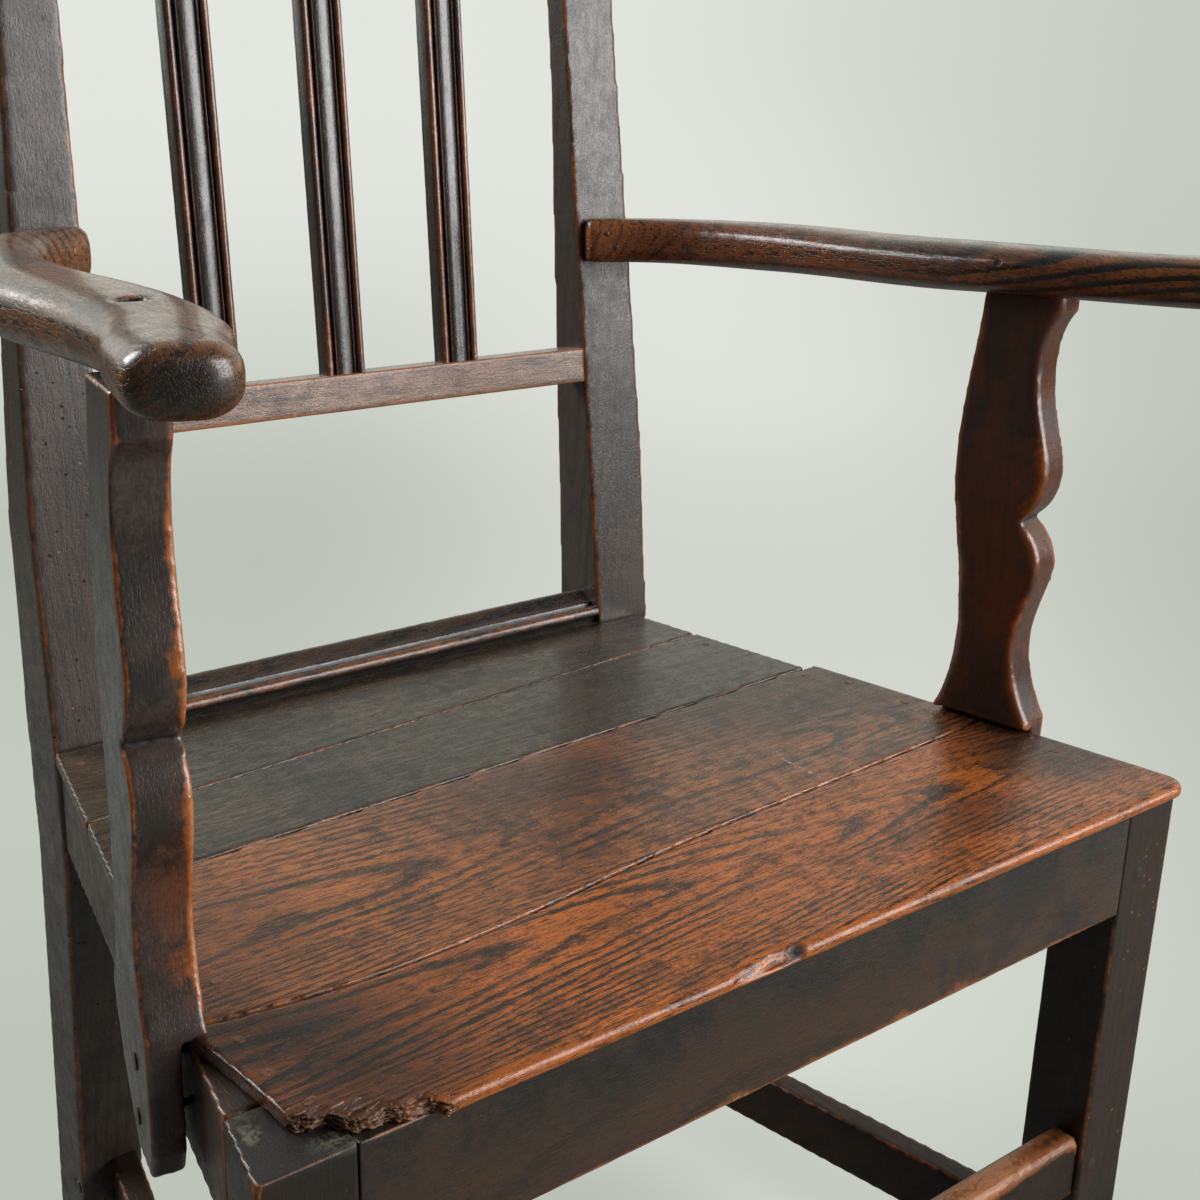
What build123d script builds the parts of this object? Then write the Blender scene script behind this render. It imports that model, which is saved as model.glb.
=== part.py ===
"""Country armchair with a plank seat and an open slatted back, joined with pegged mortise and tenon.

Millimetres, +Z up. While it is built, +Y runs from the front of the chair to its back, +X to the
right as seen from the front, and y = 0 is the front face of the front legs. Each piece is moved
at the end so that the origin is on the floor under the middle of the whole chair.
"""
import os
from math import atan, cos, degrees, sin

from build123d import *

# ---- whole chair -------------------------------------------------------------------------
SEAT_HEIGHT = 440.0           # floor to the top of the seat
FRONT_WIDTH = 580.0           # over the front legs
REAR_WIDTH = 434.0            # over the back posts at the seat
SEAT_DEPTH = 398.0            # front of the legs to the front of the back posts
BACK_HEIGHT = 590.0           # seat to the top of the back posts

# ---- legs and posts ----------------------------------------------------------------------
LEG_WIDTH = 44.0              # front leg across the front
LEG_DEPTH = 44.0              # front leg from front to back
LEG_ARRIS = 2.0               # worn vertical edges
POST_WIDTH = 41.0             # back post across the front
POST_WIDTH_TOP = {"right": 37.0, "left": 27.0}    # the left post was planed thinner
POST_DEPTH = 47.0             # back post from front to back, at the seat
POST_DEPTH_MID = 20.0         # 380 above the seat, and on to the top
POST_MID = 380.0
BACK_RAKE = 0.084             # how far the back leans back for each unit of height
POST_LEAN = 0.034             # how far each post leans inwards for each unit of height
POST_SWELL = 2.5              # how much wider its outer face is left at the seat
POST_SWELL_MID = 0.8          # and this far above the seat, where its taper starts
POST_TAPER_UP = 130.0
FOOT_RAKE = 0.110             # how far the rear leg kicks back for each unit below the seat
FOOT_DEPTH = 44.0             # rear leg from front to back, at the floor
POST_TOP_ROUND = 9.0

# ---- seat frame --------------------------------------------------------------------------
SEAT_THICK = 8.0
FRONT_RAIL_HEIGHT = 66.0
SIDE_RAIL_HEIGHT = 60.0
RAIL_THICK = 26.0
TENON_THICK = 10.0
TENON_SHOULDER = 6.0          # rail left standing above and below a seat rail tenon
FRONT_TENON = 30.0            # length of the front rail tenon in the leg
SIDE_TENON = 22.0             # length of the side rail tenon in the leg
SIDE_TENON_REAR = 26.0        # and in the post
REAR_TENON = 18.0
REAR_RAIL_SETBACK = 8.0       # rear rail behind the front of the posts
PEG_RADIUS = 4.0

# ---- seat boards -------------------------------------------------------------------------
NOSE = 7.0                    # seat in front of the front rail
SIDE_OVERHANG = 3.0           # seat past the side rails
NOSE_ROUND = 3.4
SEAT_CORNER_ROUND = 12.0      # front right corner of the seat, seen from above
# each joint between the boards: how far back it is, at even steps from the left to the right
FRONT_JOINT = (107.0, 88.5, 105.0, 115.0, 126.5)
MIDDLE_JOINT = (226.0, 239.5, 253.0)
REAR_JOINT = (297.0, 323.5, 350.0)
FRONT_JOINT_GAP, MIDDLE_JOINT_GAP, REAR_JOINT_GAP = 1.6, 1.4, 0.6
REAR_BOARDS_SHORT = 8.0       # the two rear boards stop inside the right side rail
BACK_EDGE = 428.0             # seat between the posts
# the broken corner at the front left, from the arm support round to the front edge
BREAK = [(-273.0, 95.0), (-268.5, 60.0), (-265.0, 21.0), (-257.0, 16.5), (-252.5, 17.5),
         (-246.0, 7.0), (-238.0, 4.0), (-232.0, 5.5), (-224.0, 0.5), (-216.0, 1.0), (-209.0, -7.5)]
# the chip out of the front edge
CHIP = [(-62.0, -7.5), (-56.0, -4.6), (-42.0, -3.4), (-33.0, -1.2), (-24.0, -2.6), (-13.0, -7.5)]
# pegs that hold the seat down, from front to back along each side
SEAT_PEGS = [(278, 30), (263, 66), (246, 170), (241, 214), (227, 240), (211, 322), (206, 350),
             (-254, 25), (-259, 51), (-258, 78), (-247, 124), (-232, 200), (-218, 290), (-213, 376)]
SEAT_PEG_RADIUS = 3.2
SEAT_PEG_LENGTH = 30.0

# ---- back --------------------------------------------------------------------------------
LOWER_RAIL_UP = 174.0         # underside of the lower back rail above the seat
LOWER_RAIL_HEIGHT = 23.0
LOWER_RAIL_THICK = 19.0
CREST_THICK = 15.0
CREST_UP = 512.0              # underside of the crest rail above the seat
CREST_HEIGHT = 54.0           # crest rail at its ends
CREST_RISE = 14.0             # how much higher it is in the middle
BACK_TENON_THICK = 7.0
BACK_TENON_LENGTH = 22.0
SLAT_WIDTH = 27.0
SLAT_DEPTH = 13.0
SLAT_SETBACK = 1.0            # slats behind the face of the posts
SLAT_PITCH = 84.0
SLATS_OFF_CENTRE = -13.0      # the three slats stand a little to the left
SLAT_TENON = 9.0
BEAD = 2.6                    # radius of the bead along each edge of a slat
SHOE_DEPTH = 26.0             # moulding along the back of the seat
SHOE_HEIGHT = 20.0

# ---- arms --------------------------------------------------------------------------------
# underside of each arm at its post, above the seat: the left arm was set higher
ARM_UP = {"right": 255.0, "left": 264.6}
ARM_THICK = 26.4
ARM_RISE = {"right": 0.0285, "left": 0.0210}      # how far each arm climbs for its length
ARM_ROUND = 9.0
ARM_TENON = 12.0              # into the post
# outline of the right arm from above, from the post forwards
ARM_OUTSIDE = [(213, 415), (231, 399), (251, 375), (274, 324), (281, 246), (279.5, 165),
               (286.5, 104), (299, 50)]
ARM_INSIDE = [(258.5, 42), (236, 95), (227.5, 165), (229.5, 244), (225.5, 314), (214.5, 358),
              (199, 386), (176, 407)]
ARM_NOSE = (282.5, 14)
ARM_TENON_INSIDE, ARM_TENON_OUTSIDE = 188.0, 201.0
ARM_PEG = (259, 132)

# ---- arm supports ------------------------------------------------------------------------
SUPPORT_FRONT = 96.5          # along the side of the seat, from the front corner
SUPPORT_INSIDE = 11.0         # support inside the face of the side rail
SUPPORT_THICK = 26.0
LAP_DROP = 67.0               # how far below the seat top it ends
SUPPORT_TOP = 278.0           # sawn longer, then scribed to the arm
SUPPORT_THICK_TOP = 23.0
SUPPORT_LEAN = 4.0            # its top is this much further in than its foot
SUPPORT_TENON = 15.0

# ---- stretchers --------------------------------------------------------------------------
FRONT_STRETCHER_TOP = 211.0   # above the floor
FRONT_STRETCHER_HEIGHT = 42.0
FRONT_STRETCHER_THICK = 20.0
SIDE_STRETCHER_TOP = 128.0
REAR_STRETCHER_TOP = 168.0
LOW_STRETCHER_HEIGHT = 41.0
LOW_STRETCHER_THICK = 18.0
STRETCHER_TENON = 20.0
STRETCHER_TENON_THICK = 9.0

# ---- derived -----------------------------------------------------------------------------
half_front = FRONT_WIDTH / 2
half_rear = REAR_WIDTH / 2
frame_top = SEAT_HEIGHT - SEAT_THICK
side_slope = (half_front - half_rear) / SEAT_DEPTH
side_angle = degrees(atan(side_slope))
rake_angle = degrees(atan(BACK_RAKE))
foot_front = SEAT_DEPTH + FOOT_RAKE * SEAT_HEIGHT
chair_middle = (foot_front + FOOT_DEPTH - NOSE) / 2
side_frame = Location((half_front, 0, 0), (0, 0, side_angle))
back_frame = Location((0, SEAT_DEPTH, SEAT_HEIGHT), (-rake_angle, 0, 0))


def block(x0, x1, y0, y1, z0, z1):
    """A box between two corners."""
    size = Box(x1 - x0, y1 - y0, z1 - z0)
    return Pos((x0 + x1) / 2, (y0 + y1) / 2, (z0 + z1) / 2) * size


def prism(points, plane, depth):
    """A closed outline of straight lines, extruded."""
    return extrude(plane * make_face(Polyline(*points, close=True)), depth)


def mirrored(piece):
    return piece.mirror(Plane.YZ)


def biggest(shape):
    return shape.solids().sort_by(SortBy.VOLUME)[-1]


def rod(start, direction, radius, length):
    """A round peg from a point on the surface, along a direction into the wood."""
    plane = Plane(origin=start, z_dir=direction)
    return extrude(plane * Circle(radius), length)


def side_x(y):
    """Outside face of the side rail at a distance from the front."""
    return half_front - side_slope * y


def post_face(z):
    """Front face of the back post at a height above the floor."""
    above = z - SEAT_HEIGHT
    return SEAT_DEPTH + (BACK_RAKE * above if above > 0 else -FOOT_RAKE * above)


# ---- front legs: the outer face is planed to the slope of the side of the seat ------------
leg = prism([(half_front - LEG_WIDTH, 0), (half_front, 0), (side_x(LEG_DEPTH), LEG_DEPTH),
             (half_front - LEG_WIDTH, LEG_DEPTH)], Plane.XY, frame_top)
leg = fillet(leg.edges().filter_by(Axis.Z), LEG_ARRIS)

# ---- back posts: sawn to the rake in one view and to the lean in the other ----------------
post_top = SEAT_HEIGHT + BACK_HEIGHT
post_side = prism(
    [(foot_front, 0), (SEAT_DEPTH, SEAT_HEIGHT), (post_face(post_top), post_top),
     (post_face(post_top) + POST_DEPTH_MID, post_top),
     (post_face(SEAT_HEIGHT + POST_MID) + POST_DEPTH_MID, SEAT_HEIGHT + POST_MID),
     (SEAT_DEPTH + POST_DEPTH, SEAT_HEIGHT), (foot_front + FOOT_DEPTH, 0)],
    Plane.YZ, half_front)
post_inside = half_rear - POST_WIDTH
top_outside = post_inside - POST_LEAN * BACK_HEIGHT + POST_WIDTH_TOP["right"]


def make_post(top_width):
    """A right-hand post: its inner face starts to taper at the seat."""
    top_inside = top_outside - top_width
    front_view = prism(
        [(post_inside, 0), (half_rear, 0), (half_rear, SEAT_HEIGHT - 80),
         (half_rear + POST_SWELL, SEAT_HEIGHT),
         (half_rear + POST_SWELL_MID, SEAT_HEIGHT + POST_TAPER_UP), (top_outside, post_top),
         (top_inside, post_top), (post_inside, SEAT_HEIGHT)], Plane.XZ, -600)
    blank = biggest(post_side & front_view)
    top_edges = blank.edges().filter_by(Axis.Y, tolerance=1e-3).group_by(Axis.Z)[-1]
    return fillet(top_edges, POST_TOP_ROUND)


# until they are named, left-hand pieces are kept in right-hand form
posts = {side: make_post(width) for side, width in POST_WIDTH_TOP.items()}
post = posts["right"]
both_posts = posts["right"] + mirrored(posts["left"])

# ---- seat rails, each with its tenons in one piece ----------------------------------------
front_rail = block(-half_front + LEG_WIDTH, half_front - LEG_WIDTH, 0, RAIL_THICK + 2,
                   frame_top - FRONT_RAIL_HEIGHT, frame_top)
front_tenons = block(-half_front + LEG_WIDTH - FRONT_TENON, half_front - LEG_WIDTH + FRONT_TENON,
                     7, 7 + TENON_THICK, frame_top - FRONT_RAIL_HEIGHT + TENON_SHOULDER,
                     frame_top - TENON_SHOULDER)
front_rail = front_rail + front_tenons

rail_foot = frame_top - SIDE_RAIL_HEIGHT
along = 1 / cos(atan(side_slope))
side_body = side_frame * block(-RAIL_THICK, 0, 25, (SEAT_DEPTH + 20) * along, rail_foot, frame_top)
side_tenons = side_frame * block(
    -6 - TENON_THICK, -6, (LEG_DEPTH - SIDE_TENON) * along,
    (SEAT_DEPTH + SIDE_TENON_REAR) * along, rail_foot + TENON_SHOULDER, frame_top - TENON_SHOULDER)
side_rail = biggest(side_body - leg - post) + side_tenons

rear_y = SEAT_DEPTH + REAR_RAIL_SETBACK
rear_rail = block(-post_inside, post_inside, rear_y, rear_y + RAIL_THICK, rail_foot, frame_top)
rear_tenons = block(-post_inside - REAR_TENON, post_inside + REAR_TENON, rear_y + 6,
                    rear_y + 6 + TENON_THICK, rail_foot + TENON_SHOULDER,
                    frame_top - TENON_SHOULDER)
rear_rail = rear_rail + rear_tenons

# ---- stretchers ---------------------------------------------------------------------------
stretcher_top_edge = 6.0      # the top of the front stretcher is worn round by feet
front_stretcher = block(-half_front + LEG_WIDTH, half_front - LEG_WIDTH, 3,
                        3 + FRONT_STRETCHER_THICK, FRONT_STRETCHER_TOP - FRONT_STRETCHER_HEIGHT,
                        FRONT_STRETCHER_TOP)
worn = front_stretcher.edges().filter_by(Axis.X).group_by(Axis.Z)[-1]
front_stretcher = fillet(worn, stretcher_top_edge)
front_stretcher_tenons = block(
    -half_front + LEG_WIDTH - STRETCHER_TENON, half_front - LEG_WIDTH + STRETCHER_TENON,
    8, 8 + STRETCHER_TENON_THICK, FRONT_STRETCHER_TOP - FRONT_STRETCHER_HEIGHT + 6,
    FRONT_STRETCHER_TOP - 10)
front_stretcher = front_stretcher + front_stretcher_tenons

side_stretcher_foot = SIDE_STRETCHER_TOP - LOW_STRETCHER_HEIGHT
low_inset = 13.0              # side stretcher inside the face of the legs
rear_reach = post_face(SIDE_STRETCHER_TOP)
side_body = side_frame * block(-low_inset - LOW_STRETCHER_THICK, -low_inset, 25,
                               (rear_reach + 25) * along, side_stretcher_foot, SIDE_STRETCHER_TOP)
low_tenons = side_frame * block(
    -low_inset - 4.5 - STRETCHER_TENON_THICK, -low_inset - 4.5,
    (LEG_DEPTH - STRETCHER_TENON) * along, (rear_reach + STRETCHER_TENON) * along,
    side_stretcher_foot + 5, SIDE_STRETCHER_TOP - 5)
side_stretcher = biggest(side_body - leg - post) + low_tenons

rear_low = REAR_STRETCHER_TOP - LOW_STRETCHER_HEIGHT
rear_low_y = post_face(REAR_STRETCHER_TOP) + 12
rear_stretcher = block(-post_inside, post_inside, rear_low_y, rear_low_y + LOW_STRETCHER_THICK,
                       rear_low, REAR_STRETCHER_TOP)
rear_low_tenons = block(-post_inside - STRETCHER_TENON, post_inside + STRETCHER_TENON,
                        rear_low_y + 4.5, rear_low_y + 4.5 + STRETCHER_TENON_THICK,
                        rear_low + 5, REAR_STRETCHER_TOP - 5)
rear_stretcher = rear_stretcher + rear_low_tenons

# ---- back rails, in the plane of the raked back --------------------------------------------
lower_body = back_frame * block(-post_inside - 8, post_inside + 8, 0, LOWER_RAIL_THICK,
                                LOWER_RAIL_UP, LOWER_RAIL_UP + LOWER_RAIL_HEIGHT)
lower_reach = post_inside - POST_LEAN * LOWER_RAIL_UP + BACK_TENON_LENGTH
lower_tenons = back_frame * block(-lower_reach, lower_reach, 4, 4 + BACK_TENON_THICK,
                                  LOWER_RAIL_UP + 3, LOWER_RAIL_UP + LOWER_RAIL_HEIGHT - 3)
lower_back_rail = biggest(lower_body - both_posts) + lower_tenons

crest_half = post_inside - POST_LEAN * CREST_UP + 12
crest_top = CREST_UP + CREST_HEIGHT
with BuildSketch(Plane.XZ) as crest_outline:
    with BuildLine():
        Polyline((-crest_half, crest_top), (-crest_half, CREST_UP), (crest_half, CREST_UP),
                 (crest_half, crest_top))
        ThreePointArc((crest_half, crest_top), (0, crest_top + CREST_RISE),
                      (-crest_half, crest_top))
    make_face()
crest_body = back_frame * extrude(crest_outline.sketch, -CREST_THICK)
crest_reach = post_inside - POST_LEAN * CREST_UP + BACK_TENON_LENGTH
crest_tenons = back_frame * block(-crest_reach, crest_reach, 4, 4 + BACK_TENON_THICK,
                                  CREST_UP + 8, crest_top - 8)
crest_rail = biggest(crest_body - both_posts) + crest_tenons

# ---- slats: a rounded middle between two quirked beads ---------------------------------------
half_slat = SLAT_WIDTH / 2
bead_in = half_slat - 2 * BEAD
middle = bead_in - 2.7        # half the width of the rounded middle
with BuildSketch() as slat_section:
    with BuildLine():
        ThreePointArc((-middle, 1.9), (0, 0.8), (middle, 1.9))
        for side in (1, -1):
            Polyline((side * middle, 1.9), (side * middle, 0.8), (side * (middle + 1.5), 0.8),
                     (side * (middle + 1.6), 3.4), (side * bead_in, 3.4), (side * bead_in, BEAD))
            ThreePointArc((side * bead_in, BEAD), (side * (half_slat - BEAD), 0),
                          (side * half_slat, BEAD))
            Polyline((side * half_slat, BEAD), (side * half_slat, SLAT_DEPTH), (0, SLAT_DEPTH))
    make_face()
slat_foot = LOWER_RAIL_UP + LOWER_RAIL_HEIGHT
slat_bar = Pos(0, SLAT_SETBACK, slat_foot) * extrude(slat_section.sketch, CREST_UP - slat_foot)
slat_tenon = block(-8, 8, 5, 5 + 6, slat_foot - SLAT_TENON, CREST_UP + SLAT_TENON)
slats = {}
for name, step in (("left", -1), ("middle", 0), ("right", 1)):
    place = back_frame * Pos(SLATS_OFF_CENTRE + step * SLAT_PITCH, 0, 0)
    slats[name] = place * (slat_bar + slat_tenon)
    lower_back_rail = lower_back_rail - slats[name]
    crest_rail = crest_rail - slats[name]

# ---- shoe moulding along the back of the seat -------------------------------------------------
with BuildSketch(Plane.YZ) as shoe_outline:
    with BuildLine():
        Polyline((SHOE_DEPTH, 0), (SHOE_DEPTH, SHOE_HEIGHT - 4))
        ThreePointArc((SHOE_DEPTH, SHOE_HEIGHT - 4), (SHOE_DEPTH - 2.4, SHOE_HEIGHT - 0.6),
                      (SHOE_DEPTH - 6, SHOE_HEIGHT - 0.8))
        ThreePointArc((SHOE_DEPTH - 6, SHOE_HEIGHT - 0.8), (12.5, 14.2), (8, 12.6))
        Polyline((8, 12.6), (7.6, 10.4), (6.4, 10.4))
        ThreePointArc((6.4, 10.4), (0.4, 7.6), (2.2, 2.4))
        Polyline((2.2, 2.4), (3.0, 0), (SHOE_DEPTH, 0))
    make_face()
shoe_bar = extrude(shoe_outline.sketch, post_inside, both=True)
shoe_bar = Pos(0, SEAT_DEPTH + 0.5, SEAT_HEIGHT) * shoe_bar
shoe = biggest(shoe_bar - both_posts)

# ---- arms: sawn to a bow in plan, then rounded ------------------------------------------------
arm_back = post_face(SEAT_HEIGHT + ARM_UP["left"]) + 4
with BuildSketch() as arm_plan:
    with BuildLine():
        Polyline(ARM_INSIDE[-1], (171, 412.5), (170, arm_back), (213, arm_back), ARM_OUTSIDE[0])
        Spline(*ARM_OUTSIDE)
        ThreePointArc(ARM_OUTSIDE[-1], ARM_NOSE, ARM_INSIDE[0])
        Spline(*ARM_INSIDE)
    make_face()
arm_bar = extrude(arm_plan.sketch, ARM_THICK)
level_edges = arm_bar.edges().filter_by(
    lambda e: e.bounding_box().size.Z < 0.01 and e.center().Y < 405)
arm_bar = fillet(level_edges, ARM_ROUND)

def arm_underside(side, y):
    """Height of the flat of an arm's underside above the seat, at a distance from the front."""
    return ARM_UP[side] + ARM_RISE[side] * (arm_back - y)


arms, arm_tenons = {}, {}
for side, rise in ARM_RISE.items():
    arm_foot = SEAT_HEIGHT + ARM_UP[side]
    arm_place = Pos(0, arm_back, arm_foot) * Rot(X=-degrees(atan(rise)))
    arms[side] = biggest(arm_place * Pos(0, -arm_back, 0) * arm_bar - post)
    arm_joint = post_face(arm_foot + ARM_THICK / 2)
    arm_tenons[side] = block(ARM_TENON_INSIDE, ARM_TENON_OUTSIDE, arm_joint - 6,
                             arm_joint + ARM_TENON, arm_foot + 6, arm_foot + ARM_THICK - 6)

# ---- arm supports: a sawn board whose outer half laps down outside the side rail --------------
# edges seen from the side; the first number is the distance from the front corner of the board
UPPER_FRONT = [(1.5, 253), (7.6, 243.5), (11.4, 226), (10.2, 202), (4.2, 177.5), (0.6, 158),
               (5.0, 141), (15.5, 129.5)]
LOWER_FRONT = [(15.5, 129.5), (5.5, 120), (0.0, 105), (3.0, 86), (9.6, 61), (9.6, 39),
               (4.0, 19.5), (-3.6, 4)]
REAR_EDGE = [(60.5, 1), (54, 17), (50, 38), (49, 66), (53, 104), (58, 136), (59.4, 166),
             (56.8, 200), (51.5, 240)]
with BuildSketch(Plane.YZ) as support_outline:
    with BuildLine():
        Polyline(UPPER_FRONT[0], (1.5, SUPPORT_TOP), (48, SUPPORT_TOP), REAR_EDGE[-1])
        Spline(*UPPER_FRONT)
        Spline(*LOWER_FRONT)
        Spline(*REAR_EDGE)
        Polyline(LOWER_FRONT[-1], (-3.6, 0), (60.5, 0), REAR_EDGE[0])
    make_face()
support_side = Pos(-20, 0, 0) * extrude(support_outline.sketch, 60)
support_front = prism([(0, 0), (SUPPORT_THICK, 0), (SUPPORT_THICK_TOP - SUPPORT_LEAN, SUPPORT_TOP),
                       (-SUPPORT_LEAN, SUPPORT_TOP)], Plane.XZ, -90)
upper_half = support_side & Pos(0, -15, 0) * support_front
lap = prism([(-3.6, 0), (60.5, 0), (58, -14), (50, -36), (29, -LAP_DROP), (4, -LAP_DROP),
             (-1, -LAP_DROP + 14)], Plane.YZ, SUPPORT_THICK - SUPPORT_INSIDE)
lap = Pos(SUPPORT_INSIDE, 0, 0) * lap
support_place = side_frame * Pos(-SUPPORT_INSIDE, SUPPORT_FRONT, SEAT_HEIGHT)
support_blank = support_place * (biggest(upper_half) + lap)
supports = {}
for side, arm in arms.items():
    arm_height = arm_underside(side, SUPPORT_FRONT + 25)
    tenon = support_place * block(0, 14, 12, 40, arm_height - 12, arm_height + SUPPORT_TENON)
    supports[side] = biggest(support_blank - arm) + tenon
    arms[side] = arm + arm_tenons[side] - tenon

# ---- seat boards -------------------------------------------------------------------------------
def joint_line(joint, shift):
    """The line of a joint between two boards, from left to right, moved back by a distance."""
    step = 600 / (len(joint) - 1)
    return Spline(*[(-300 + k * step, back + shift) for k, back in enumerate(joint)])


def seat_board(front, rear):
    """A board between two joint lines, before it is trimmed to the shape of the seat."""
    with BuildSketch(Plane.XY.offset(frame_top)) as outline:
        with BuildLine():
            fore = joint_line(*front)
            aft = joint_line(*rear)
            Line(fore @ 0, aft @ 0)
            Line(fore @ 1, aft @ 1)
        make_face()
    return extrude(outline.sketch, SEAT_THICK)


def seat_shape(right_overhang):
    """The whole seat as one slab, with its rear corners cut out for the posts."""
    rear_left = -(half_rear + SIDE_OVERHANG)
    rear_right = half_rear + right_overhang
    slope = side_slope * NOSE
    return prism([(-half_front - SIDE_OVERHANG - slope, -NOSE),
                  (half_front + right_overhang + slope, -NOSE), (rear_right, SEAT_DEPTH),
                  (post_inside, SEAT_DEPTH), (post_inside, BACK_EDGE), (-post_inside, BACK_EDGE),
                  (-post_inside, SEAT_DEPTH), (rear_left, SEAT_DEPTH)],
                 Plane.XY.offset(frame_top), SEAT_THICK)


whole_seat = seat_shape(SIDE_OVERHANG)
corner = whole_seat.edges().filter_by(Axis.Z).sort_by(lambda e: e.center().X - e.center().Y)[-1]
whole_seat = fillet(corner, SEAT_CORNER_ROUND)
nose_edges = whole_seat.edges().filter_by(lambda e: e.center().Y < -1 and e.center().X > -280
                                          and e.bounding_box().size.Z < 0.01)
whole_seat = fillet(nose_edges, NOSE_ROUND)
rear_seat = seat_shape(-REAR_BOARDS_SHORT)
far = (-60.0, -60.0, -60.0)
behind = (460.0, 460.0, 460.0)
broken = prism(BREAK + [(-209, -30), (-330, -30), (-330, 95)], Plane.XY.offset(frame_top), 20)
chipped = prism(CHIP + [(-13, -30), (-62, -30)], Plane.XY.offset(frame_top + 2.5), 20)
seat_boards = {
    "front_seat_board": (far, 0, FRONT_JOINT, -FRONT_JOINT_GAP / 2, whole_seat),
    "second_seat_board": (FRONT_JOINT, FRONT_JOINT_GAP / 2, MIDDLE_JOINT, -MIDDLE_JOINT_GAP / 2,
                          whole_seat),
    "third_seat_board": (MIDDLE_JOINT, MIDDLE_JOINT_GAP / 2, REAR_JOINT, -REAR_JOINT_GAP / 2,
                         rear_seat),
    "rear_seat_board": (REAR_JOINT, REAR_JOINT_GAP / 2, behind, 0, rear_seat),
}
for name, (front, fore_gap, rear, aft_gap, slab) in seat_boards.items():
    board = slab & seat_board((front, fore_gap), (rear, aft_gap))
    seat_boards[name] = biggest(board - support_blank - mirrored(support_blank))
seat_boards["front_seat_board"] = biggest(seat_boards["front_seat_board"] - broken - chipped)

# ---- pegs and nails -----------------------------------------------------------------------------
def both_sides(pieces):
    return pieces + [mirrored(piece) for piece in pieces]


def into_side(y, z, length):
    """A peg driven square into the outer face of the side of the frame."""
    outward = Vector(cos(atan(side_slope)), sin(atan(side_slope)), 0)
    return rod(Vector(side_x(y), y, z), -outward, PEG_RADIUS, length)


front_leg_pegs = both_sides([
    rod((262, 0, frame_top - 44), (0, 1, 0), PEG_RADIUS, 26),
    into_side(33, frame_top - 32, 34),
])
back_post_pegs = both_sides([
    rod((half_rear, 412, frame_top - 40), (-1, 0, 0), PEG_RADIUS, 30),
    rod((185, 449, frame_top - 18), (0, -1, 0), PEG_RADIUS, 40),
])
crest_peg_y = post_face(SEAT_HEIGHT + CREST_UP + 29) + POST_DEPTH_MID
back_rail_pegs = both_sides([
    rod((181, 447.2, SEAT_HEIGHT + LOWER_RAIL_UP + 13), (0, -1, 0), PEG_RADIUS - 1, 27),
    rod((173, crest_peg_y, SEAT_HEIGHT + CREST_UP + 29), (0, -1, 0), PEG_RADIUS - 1, 15),
])
stretcher_pegs = both_sides([
    rod((257, 0, FRONT_STRETCHER_TOP - 22), (0, 1, 0), PEG_RADIUS, 30),
    into_side(34, SIDE_STRETCHER_TOP - 20, 32),
    rod((half_rear, 443, SIDE_STRETCHER_TOP - 20), (-1, 0, 0), PEG_RADIUS, 36),
    rod((186, 475, REAR_STRETCHER_TOP - 20), (0, -1, 0), PEG_RADIUS, 40),
])
seat_pegs = [rod((x, y, SEAT_HEIGHT), (0, 0, -1), SEAT_PEG_RADIUS, SEAT_PEG_LENGTH)
             for x, y in SEAT_PEGS]
# a peg comes down through each arm into the support; the left one is lost, its hole is open
arm_top_pegs = {side: rod((*ARM_PEG, SEAT_HEIGHT + arm_underside(side, ARM_PEG[1]) + ARM_THICK),
                          (0, 0, -1), PEG_RADIUS - 0.5, 26) for side in ARM_RISE}
arm_end_plug = rod((-182.5, 400.5, SEAT_HEIGHT + 280), (0, 1, 0), PEG_RADIUS, 10)
arm_end_nails = [rod((x, y, z), (0, 1, 0), 2.4, 2) + rod((x, y, z), (0, 1, 0), 1.4, 32)
                 for x, y, z in ((179.4, 405.0, 713.5), (184.6, 401.0, 704.5))]
nail = Pos(SUPPORT_THICK, 0, 0) * rod((1.4, 0, 0), (-1, 0, 0), 4.5, 1.4)
nail = nail + Pos(SUPPORT_THICK, 0, 0) * rod((0, 0, 0), (-1, 0, 0), 2.0, 30)
support_nails = both_sides([support_place * Pos(0, along_board, up) * nail
                            for along_board, up in ((20, -20), (24, -50))])

# ---- the pieces, by name --------------------------------------------------------------------------
pieces = {
    "front_seat_rail": front_rail,
    "rear_seat_rail": rear_rail,
    "front_stretcher": front_stretcher,
    "rear_stretcher": rear_stretcher,
    "lower_back_rail": lower_back_rail,
    "crest_rail": crest_rail,
    "shoe_moulding": shoe,
}
pieces.update(seat_boards)
for name, slat in slats.items():
    pieces[f"{name}_back_slat"] = slat
mortised_leg = leg - front_rail - side_rail - front_stretcher - side_stretcher
for side, turned in (("right", lambda piece: piece), ("left", mirrored)):
    pieces[f"{side}_front_leg"] = turned(mortised_leg)
    pieces[f"{side}_back_post"] = turned(
        posts[side] - rear_rail - side_rail - rear_stretcher - side_stretcher
        - arm_tenons[side] - lower_tenons - crest_tenons)
    pieces[f"{side}_side_rail"] = turned(side_rail)
    pieces[f"{side}_side_stretcher"] = turned(side_stretcher)
    pieces[f"{side}_arm"] = turned(arms[side])
    pieces[f"{side}_arm_support"] = turned(supports[side])

fasteners = {
    "front_leg_pegs": front_leg_pegs,
    "back_post_pegs": back_post_pegs,
    "back_rail_pegs": back_rail_pegs,
    "stretcher_pegs": stretcher_pegs,
    "seat_pegs": seat_pegs,
    "arm_top_peg": [arm_top_pegs["right"]],
    "arm_end_plug": [arm_end_plug],
    "arm_end_nails": arm_end_nails,
    "arm_support_nails": support_nails,
}


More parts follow.
